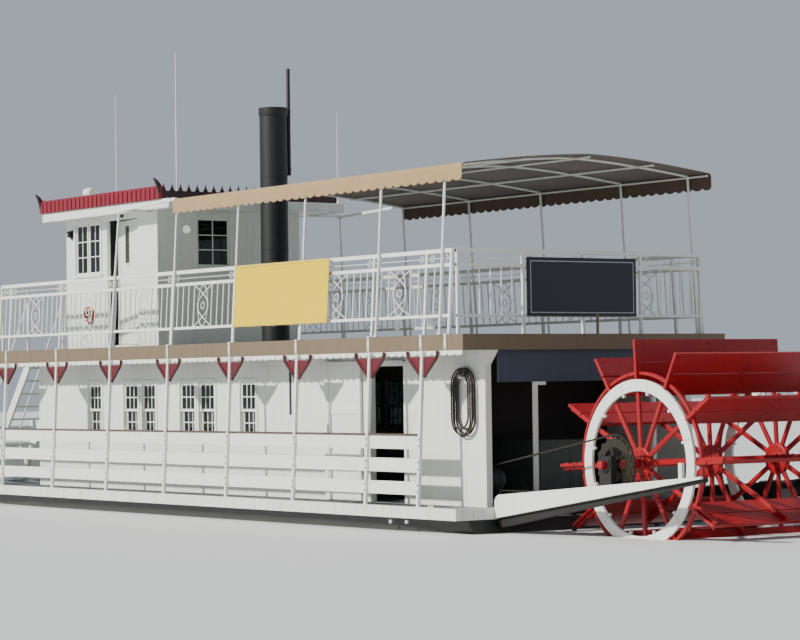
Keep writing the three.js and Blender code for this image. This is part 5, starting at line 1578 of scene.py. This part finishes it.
softened("sign_board", NAVY_PAINT, 0.005)
BOARD_FACE, BOARD_Y, BOARD_HEIGHT = (0.2645, 0.2685), (-0.884, 0.960), (2.778, 3.553)
LINE_IN, LINE_WIDE = 0.045, 0.012
bm = bmesh.new()
(y0, y1), (z0, z1) = ((low + LINE_IN, high - LINE_IN) for low, high in (BOARD_Y, BOARD_HEIGHT))
for ya, yb, za, zb in ((y0, y1, z0, z0 + LINE_WIDE), (y0, y1, z1 - LINE_WIDE, z1),
                       (y0, y0 + LINE_WIDE, z0 + LINE_WIDE, z1 - LINE_WIDE),
                       (y1 - LINE_WIDE, y1, z0 + LINE_WIDE, z1 - LINE_WIDE)):
    block(bm, BOARD_FACE, (ya, yb), (za, zb))
finish_piece("sign_border", bm, BORDER_LINE)
print("funnel,", len(WHIPS), "whips, ring and board")

# %% [markdown]
# ## Paddle wheel and drive
# The wheel has three frames of twelve chamfered arms on cast hubs, with two bucket planks bolted to each
# arm. The planks are notched at their ends, where the white felloes pass. A thin red ring ties the arms of
# each outer frame. Arms, planks, felloes and cleats are each drawn once, lying along X, and turned round
# the shaft by the tree, as a wheelwright sets them out from one pattern. The felloes are cut a little
# short, so that their joints show as dark lines.

# %% Arms, buckets, felloes and hubs
AXLE_XZ = (-2.160, 0.908)
AXLE = at(AXLE_XZ[0], 0.0, AXLE_XZ[1])
ARM_COUNT, ARM_START = 12, math.radians(-3)
FRAME_Y = [(1.1037, 1.1487), (-0.022, 0.022), (-1.1487, -1.1037)]
ARM_HALF, ARM_EASE = 0.030, 0.009
PLANKS = [(0.970, 1.238), (1.252, 1.520)]
PLANK_T, PLANK_END, NOTCH_END, NOTCH_TOP = (0.012, 0.052), 1.189, 1.1484, 1.037
FELLOE_Y, FELLOE_IN, FELLOE_OUT, FELLOE_GAP = [(1.149, 1.189), (-1.189, -1.149)], 0.886, 1.031, 0.0022
RING_IN, RING_OUT = 1.085, 1.125


def arc(radius, start, end, steps):
    """Points on an arc about the origin."""
    return [(radius * math.cos(a), radius * math.sin(a))
            for a in (start + (end - start) * k / steps for k in range(steps + 1))]


def plate_ring(bm, outers, inner, ys, centre=(0.0, 0.0)):
    """A flat ring about a y axis, whose outer edge follows one radius for each even step of angle."""
    count = len(outers)
    loops = []
    for radii, y in ((outers, ys[0]), ([inner] * count, ys[0]), ([inner] * count, ys[1]), (outers, ys[1])):
        loops.append([bm.verts.new(at(centre[0] + r * math.cos(2 * math.pi * k / count), y,
                                      centre[1] + r * math.sin(2 * math.pi * k / count)))
                      for k, r in enumerate(radii)])
    faces = []
    for one, two in zip(loops, loops[1:] + loops[:1]):
        for k in range(count):
            m = (k + 1) % count
            faces.append(bm.faces.new([one[k], one[m], two[m], two[k]]))
    bmesh.ops.recalc_face_normals(bm, faces=faces)


def round_the_shaft(name, bm, finish, count=ARM_COUNT, start=ARM_START, bevel=0.0, replaced=()):
    """One shape, drawn lying along X, set round the wheel's shaft by the tree."""
    mesh = grown(name, AROUND, None, finish, pattern(name + "_pattern", bm), Count=count, Centre=AXLE,
                 Axle=(0.0, -1.0, 0.0), Start=start)
    finish_piece(name, mesh, finish, bevel, replaced, "wheel")


bm = bmesh.new()
for y0, y1 in FRAME_Y:
    e = ARM_EASE
    prism(bm, [(y0 + e, -ARM_HALF), (y1 - e, -ARM_HALF), (y1, e - ARM_HALF), (y1, ARM_HALF - e),
               (y1 - e, ARM_HALF), (y0 + e, ARM_HALF), (y0, ARM_HALF - e), (y0, e - ARM_HALF)], "x", 0.060,
          1.500)
round_the_shaft("wheel_arms", bm, RED_ENAMEL, replaced=("paddle_wheel",))

bm = bmesh.new()
for low, high in PLANKS:
    edge = [(low, -NOTCH_END), (NOTCH_TOP, -NOTCH_END), (NOTCH_TOP, -PLANK_END), (high, -PLANK_END),
            (high, PLANK_END), (NOTCH_TOP, PLANK_END), (NOTCH_TOP, NOTCH_END), (low, NOTCH_END)]
    if low > NOTCH_TOP:
        edge = [(low, -PLANK_END), (high, -PLANK_END), (high, PLANK_END), (low, PLANK_END)]
    prism(bm, edge, "z", *PLANK_T)
round_the_shaft("wheel_buckets", bm, RED_ENAMEL, bevel=0.004)

bm = bmesh.new()
for low, high in PLANKS:
    for y0, y1 in FRAME_Y:
        for r in (low + 0.055, high - 0.055):
            turned(bm, at(r, (y0 + y1) / 2, PLANK_T[1]), (0, 0, 1),
                   [(0.0, 0.019), (0.004, 0.018), (0.004, 0.011), (0.012, 0.009), (0.012, 0.0)], 8)
            turned(bm, at(r, (y0 + y1) / 2, -ARM_HALF), (0, 0, -1),
                   [(0.0, 0.017), (0.009, 0.016), (0.009, 0.0)], 6)
round_the_shaft("wheel_bucket_bolts", bm, RED_ENAMEL)

bm, cleats, studs = bmesh.new(), bmesh.new(), bmesh.new()
half_angle = math.pi / ARM_COUNT
end_angle = half_angle - FELLOE_GAP
for y0, y1 in FELLOE_Y:
    prism(bm, arc(FELLOE_OUT, -end_angle, end_angle, 10) + arc(FELLOE_IN, end_angle, -end_angle, 10), "y",
          y0, y1)
    prism(cleats, [(0.846, -0.015), (0.884, -0.015), (0.884, 0.015), (0.846, 0.015)], "y", y0, y1)
    face, out = (y1, 1) if y1 > 0 else (y0, -1)
    for a in (-half_angle + 0.028, half_angle - 0.028):
        for r in (0.925, 0.990):
            turned(studs, at(r * math.cos(a), face, r * math.sin(a)), (0, out, 0),
                   [(0.0, 0.012), (0.005, 0.011), (0.008, 0.006), (0.008, 0.0)], 8)
round_the_shaft("felloes", bm, WHITE_ENAMEL, bevel=0.004,
                replaced=("wheel_felloes_port", "wheel_felloes_starboard"))
round_the_shaft("felloe_cleats", cleats, WHITE_ENAMEL, start=ARM_START + half_angle,
                bevel=0.003)
round_the_shaft("felloe_bolts", studs, WHITE_ENAMEL)

bm, hub_bolts = bmesh.new(), bmesh.new()
for y0, y1 in FRAME_Y:
    turned(bm, AXLE + Vector((0, y0 - 0.012, 0)), (0, 1, 0), [
        (-0.040, 0.050), (-0.040, 0.078), (-0.006, 0.088), (-0.004, 0.186), (0.0, 0.198), (0.004, 0.200),
        (0.065, 0.200), (0.069, 0.198), (0.073, 0.186), (0.075, 0.088), (0.109, 0.078), (0.109, 0.050)], 36)
    for y, out in ((y0 - 0.012, -1), (y1 + 0.012, 1)):
        turned(hub_bolts, at(0.150, y, 0.0), (0, out, 0), [(0.0, 0.016), (0.012, 0.015), (0.012, 0.0)], 6)
    if y0 * y1 > 0:
        plate_ring(bm, [RING_OUT] * 72, RING_IN, (y0 - 0.002, y1 + 0.002), AXLE_XZ)
collars = [(mid + reach, r) for mid in (-1.580, 1.580)
           for reach, r in ((-0.030, 0.050), (-0.030, 0.066), (0.030, 0.066), (0.030, 0.050))]
turned(bm, AXLE, (0, 1, 0), [(-1.800, 0.0), (-1.800, 0.044), (-1.794, 0.050), (-1.760, 0.050), *collars,
                             (1.760, 0.050), (1.794, 0.050), (1.800, 0.044), (1.800, 0.0)], 28)
finish_piece("wheel_hubs_and_shaft", bm, RED_ENAMEL, 0.003, body="wheel")
round_the_shaft("wheel_hub_bolts", hub_bolts, RED_ENAMEL, start=ARM_START + half_angle)
print("wheel pieces:", ARM_COUNT, "arms in", len(FRAME_Y), "frames")

# %% [markdown]
# ## Chain drive
# A hydraulic motor on the main deck turns the wheel through a roller chain. The big sprocket is a toothed
# plate ring with five spokes on a hub. The chain's loop runs straight between the two sprockets and wraps
# round them. One pair of links, inner and outer, is drawn once and set along that loop by the row tree.

# %% Sprocket, chain and motor
TEETH, SPROCKET_Y, CHAIN_Y = 16, (1.540, 1.570), 1.555
MOTOR_XZ = (0.900, 0.640)
MOTOR_X, MOTOR_Z = MOTOR_XZ


def toothed(root, tip, teeth):
    """Outer radii for even steps of angle, eight to a tooth."""
    return [tip if k % 8 in (0, 1) else (root + tip) / 2 if k % 8 in (7, 2) else root
            for k in range(teeth * 8)]


bm = bmesh.new()
plate_ring(bm, toothed(0.312, 0.339, TEETH), 0.210, (SPROCKET_Y[0] + 0.006, SPROCKET_Y[1] - 0.006),
           AXLE_XZ)
plate_ring(bm, [0.095] * 40, 0.0515, SPROCKET_Y, AXLE_XZ)
spokes = bmesh.new()
prism(spokes, [(0.090, -0.030), (0.130, -0.020), (0.190, -0.020), (0.214, -0.030), (0.214, 0.030),
               (0.190, 0.020), (0.130, 0.020), (0.090, 0.030)],
      "y", SPROCKET_Y[0] + 0.009, SPROCKET_Y[1] - 0.009)
finish_piece("sprocket_plate", bm, OILED_STEEL, 0.002, ("drive_sprocket",), "wheel")
round_the_shaft("sprocket_spokes", spokes, OILED_STEEL, 5, 0.0, 0.003)

LINK_PITCH, CHAIN_BIG, CHAIN_SMALL = 0.100, 0.360, 0.106
HALF_PITCH, PLATE, PLATE_THICK = LINK_PITCH / 2, 0.010, 0.0028
dx, dz = MOTOR_X - AXLE_XZ[0], MOTOR_Z - AXLE_XZ[1]
lean, spread = math.atan2(dz, dx), math.acos((CHAIN_BIG - CHAIN_SMALL) / math.hypot(dx, dz))
big, small = (arc(radius, lean + start, lean + end, steps) for radius, start, end, steps in
              ((CHAIN_BIG, spread, 2 * math.pi - spread, 36), (CHAIN_SMALL, -spread, spread, 20)))
wrap = [(a + x, b + z) for (a, b), turns in ((AXLE_XZ, big), (MOTOR_XZ, small)) for x, z in turns]
bm = bmesh.new()
for middle, out in ((-HALF_PITCH / 2, 0.0090), (HALF_PITCH / 2, 0.0122)):
    ends = [(middle + way * (HALF_PITCH / 2), a) for way, a in ((1, -math.pi / 2), (-1, math.pi / 2))]
    outline = [(x + u, z) for x, a in ends for u, z in arc(PLATE, a, a + math.pi, 5)]
    for side in (1, -1):
        prism(bm, outline, "y", side * out, side * (out - PLATE_THICK))
for x in (-HALF_PITCH, 0.0):
    for half, radius, sides in ((0.0060, 0.0078, 10), (0.0145, 0.0036, 8)):
        turned(bm, at(x, 0.0, 0.0), (0, 1, 0), [(-half, 0.0), (-half, radius), (half, radius), (half, 0.0)],
               sides)
pair = pattern("chain_link_pair", bm)
loop_length = sum(math.dist(a, b) for a, b in zip(wrap, wrap[1:] + wrap[:1]))
chain = grown("roller_chain", ROWS, path_seed([at(x, CHAIN_Y, z) for x, z in wrap], closed=True),
              OILED_STEEL, pair, Pitch=loop_length / round(loop_length / LINK_PITCH) * 0.9999)
finish_piece("roller_chain", chain, OILED_STEEL, 0.0, ("drive_chain",))

bm = bmesh.new()
turned(bm, at(MOTOR_X, 0.950, MOTOR_Z), (0, 1, 0), [
    (0.0, 0.0), (0.0, 0.060), (0.004, 0.104), (0.020, 0.120), (0.050, 0.128), (0.054, 0.146), (0.080, 0.150),
    (0.086, 0.132), (0.396, 0.132), (0.402, 0.150), (0.430, 0.150), (0.436, 0.128), (0.470, 0.104),
    (0.500, 0.070), (0.500, 0.035), (0.618, 0.035), (0.618, 0.0)], 40)
for k in range(9):
    turned(bm, at(MOTOR_X, 1.052 + 0.032 * k, MOTOR_Z), (0, 1, 0),
           [(0.0, 0.130), (0.0, 0.146), (0.008, 0.146), (0.008, 0.130)], 40)
block(bm, (MOTOR_X - 0.140, MOTOR_X + 0.140), (1.000, 1.400), (0.3203, 0.340))
for y in (1.030, 1.330):
    prism(bm, [(MOTOR_X - 0.120, 0.339), (MOTOR_X + 0.120, 0.339), (MOTOR_X + 0.080, 0.560),
               (MOTOR_X - 0.080, 0.560)], "y", y, y + 0.040)
block(bm, (MOTOR_X - 0.050, MOTOR_X + 0.050), (1.200, 1.290), (0.764, 0.790))
finish_piece("hydraulic_motor", bm, ENGINE_GREY, 0.003, replaced=("drive_motor",))
bm = bmesh.new()
plate_ring(bm, toothed(0.074, 0.092, 8), 0.036, (1.546, 1.564), MOTOR_XZ)
plate_ring(bm, [0.056] * 28, 0.036, (1.530, 1.570), MOTOR_XZ)
finish_piece("motor_sprocket", bm, OILED_STEEL, 0.002)

bearing_spots = [(at(AXLE_XZ[0] + way * 0.075, sign * (1.665 + inner * 0.028), 1.0135), (0, 0, 1))
                 for sign in (1, -1) for way in (-1, 1) for inner in (-1, 1)]
bolted("bearing_bolts", bearing_spots, BLACK_ENAMEL, 0.030, 0.014)
bm = bmesh.new()
for sign in (1, -1):
    for y, way in ((1.6197, -1), (1.7103, 1)):
        plate_ring(bm, [0.092] * 32, 0.0565, (sign * y, sign * (y + way * 0.012)), AXLE_XZ)
finish_piece("bearing_rings", bm, BLACK_ENAMEL, 0.002)
print("chain links:", 2 * round(loop_length / LINK_PITCH))

# %% [markdown]
# ## Helm
# The helm is a varnished ship's wheel with eight turned spokes on a panelled pedestal, seen through the
# pilothouse glass. One spoke is turned as a profile and the tree repeats it. The rim is two flat rings.

# %% Helm
HELM, HELM_RIM = (11.615, 0.0, 3.500), 0.246
bm = bmesh.new()
turned(bm, at(0, 0, 0), (0, 0, 1), [
    (0.030, 0.0), (0.030, 0.016), (0.080, 0.013), (0.120, 0.019), (0.160, 0.013), (0.205, 0.013),
    (0.250, 0.013), (0.262, 0.010), (0.285, 0.016), (0.312, 0.013), (0.326, 0.007), (0.328, 0.0)], 14)
helm_spokes = grown("helm_spokes", AROUND, None, MAHOGANY, pattern("helm_spoke", bm), Count=8,
                    Centre=at(*HELM), Axle=(1.0, 0.0, 0.0), Start=0.0)
finish_piece("helm_spokes", helm_spokes, MAHOGANY, 0.0, ("helm",))
bm = bmesh.new()
for half in ((-0.013, -0.001), (0.001, 0.013)):
    plate_ring(bm, [HELM_RIM] * 56, 0.204, half)
# The two halves of the rim are drawn about the y axis and then turned to face along x, at their place
bm.transform(Matrix.Translation(at(*HELM)) @ Matrix.Rotation(math.pi / 2, 4, "Z")
             @ Matrix.Translation(-at(0, 0, 0)))
turned(bm, at(11.598, 0.0, 3.500), (1, 0, 0), [(0.0, 0.0), (0.0, 0.030), (0.004, 0.046), (0.030, 0.046),
                                              (0.034, 0.028), (0.084, 0.028), (0.084, 0.0)], 24)
block(bm, (11.680, 11.880), (-0.150, 0.150), (DECK_TOP, 3.560))
for heights in ((3.5602, 3.600), (DECK_TOP, 2.640)):
    block(bm, (11.674, 11.886), (-0.156, 0.156), heights)
for sign in (1, -1):
    block(bm, (11.700, 11.860), (0.1502 * sign, 0.155 * sign), (2.700, 3.500))
block(bm, (11.675, 11.6798), (-0.110, 0.110), (2.700, 3.380))
finish_piece("helm_wheel_and_pedestal", bm, MAHOGANY, 0.003)
print("helm rim is", 2 * HELM_RIM, "m across")

# %% [markdown]
# ## Small fittings
# A vent slot in the cabin's wall, two drains in the guard and a mooring cleat are the small things left on
# the port side. Between the canopy and the pilothouse a slanted post and an eave beam stand on each side.
# They are plain blocks, turned profiles and swept bars, since nothing here repeats often.

# %% Small fittings
bm = bmesh.new()
block(bm, (4.750, 4.806), (1.7504, 1.7545), (1.500, 2.300))
finish_piece("wall_vent_slot", bm, BLACK_PLASTIC)
bm = bmesh.new()
for x, z in ((1.499, 0.122), (1.134, 0.129)):
    turned(bm, at(x, 2.318, z), (0, 1, 0),
           [(0.0, 0.0), (0.0, 0.024), (0.022, 0.024), (0.026, 0.021), (0.026, 0.014), (0.010, 0.014),
            (0.010, 0.0)], 20)
finish_piece("hull_drains", bm, WHITE_FIBREGLASS)
bm = bmesh.new()
block(bm, (0.500, 0.640), (2.326, 2.366), (0.3302, 0.340))
for x in (0.535, 0.605):
    turned(bm, at(x, 2.346, 0.338), (0, 0, 1), [(0.0, 0.014), (0.040, 0.012), (0.048, 0.0)], 12)
tube(bm, [at(x, 2.346, z) for x, z in
          ((0.450, 0.392), (0.500, 0.384), (0.570, 0.380), (0.640, 0.384), (0.690, 0.392))], 0.011)
finish_piece("deck_cleat", bm, WHITE_FIBREGLASS, 0.002)

BEAM = [(7.392, 4.716), (9.182, 4.640), (9.182, 4.684), (7.392, 4.760)]
bm = bmesh.new()
for sign in (1, -1):
    foot, head = at(9.225, sign * canopy_y(2.540), DECK_TOP), at(9.142, sign * 2.068, 4.640)
    tube(bm, [foot, head], FRAME_RADIUS, 14)
    turned(bm, foot, (0, 0, 1), [(0.0, 0.040), (0.008, 0.040), (0.014, 0.022), (0.014, 0.0)], 16)
    prism(bm, BEAM, "y", sign * 2.046, sign * 2.090)
    block(bm, (9.120, 9.164), (sign * 1.480, sign * 2.060), (4.656, 4.6999))
finish_piece("eave_posts_and_beams", bm, WHITE_ENAMEL, 0.002)
print("eave beams run from x =", BEAM[0][0], "to", BEAM[1][0])
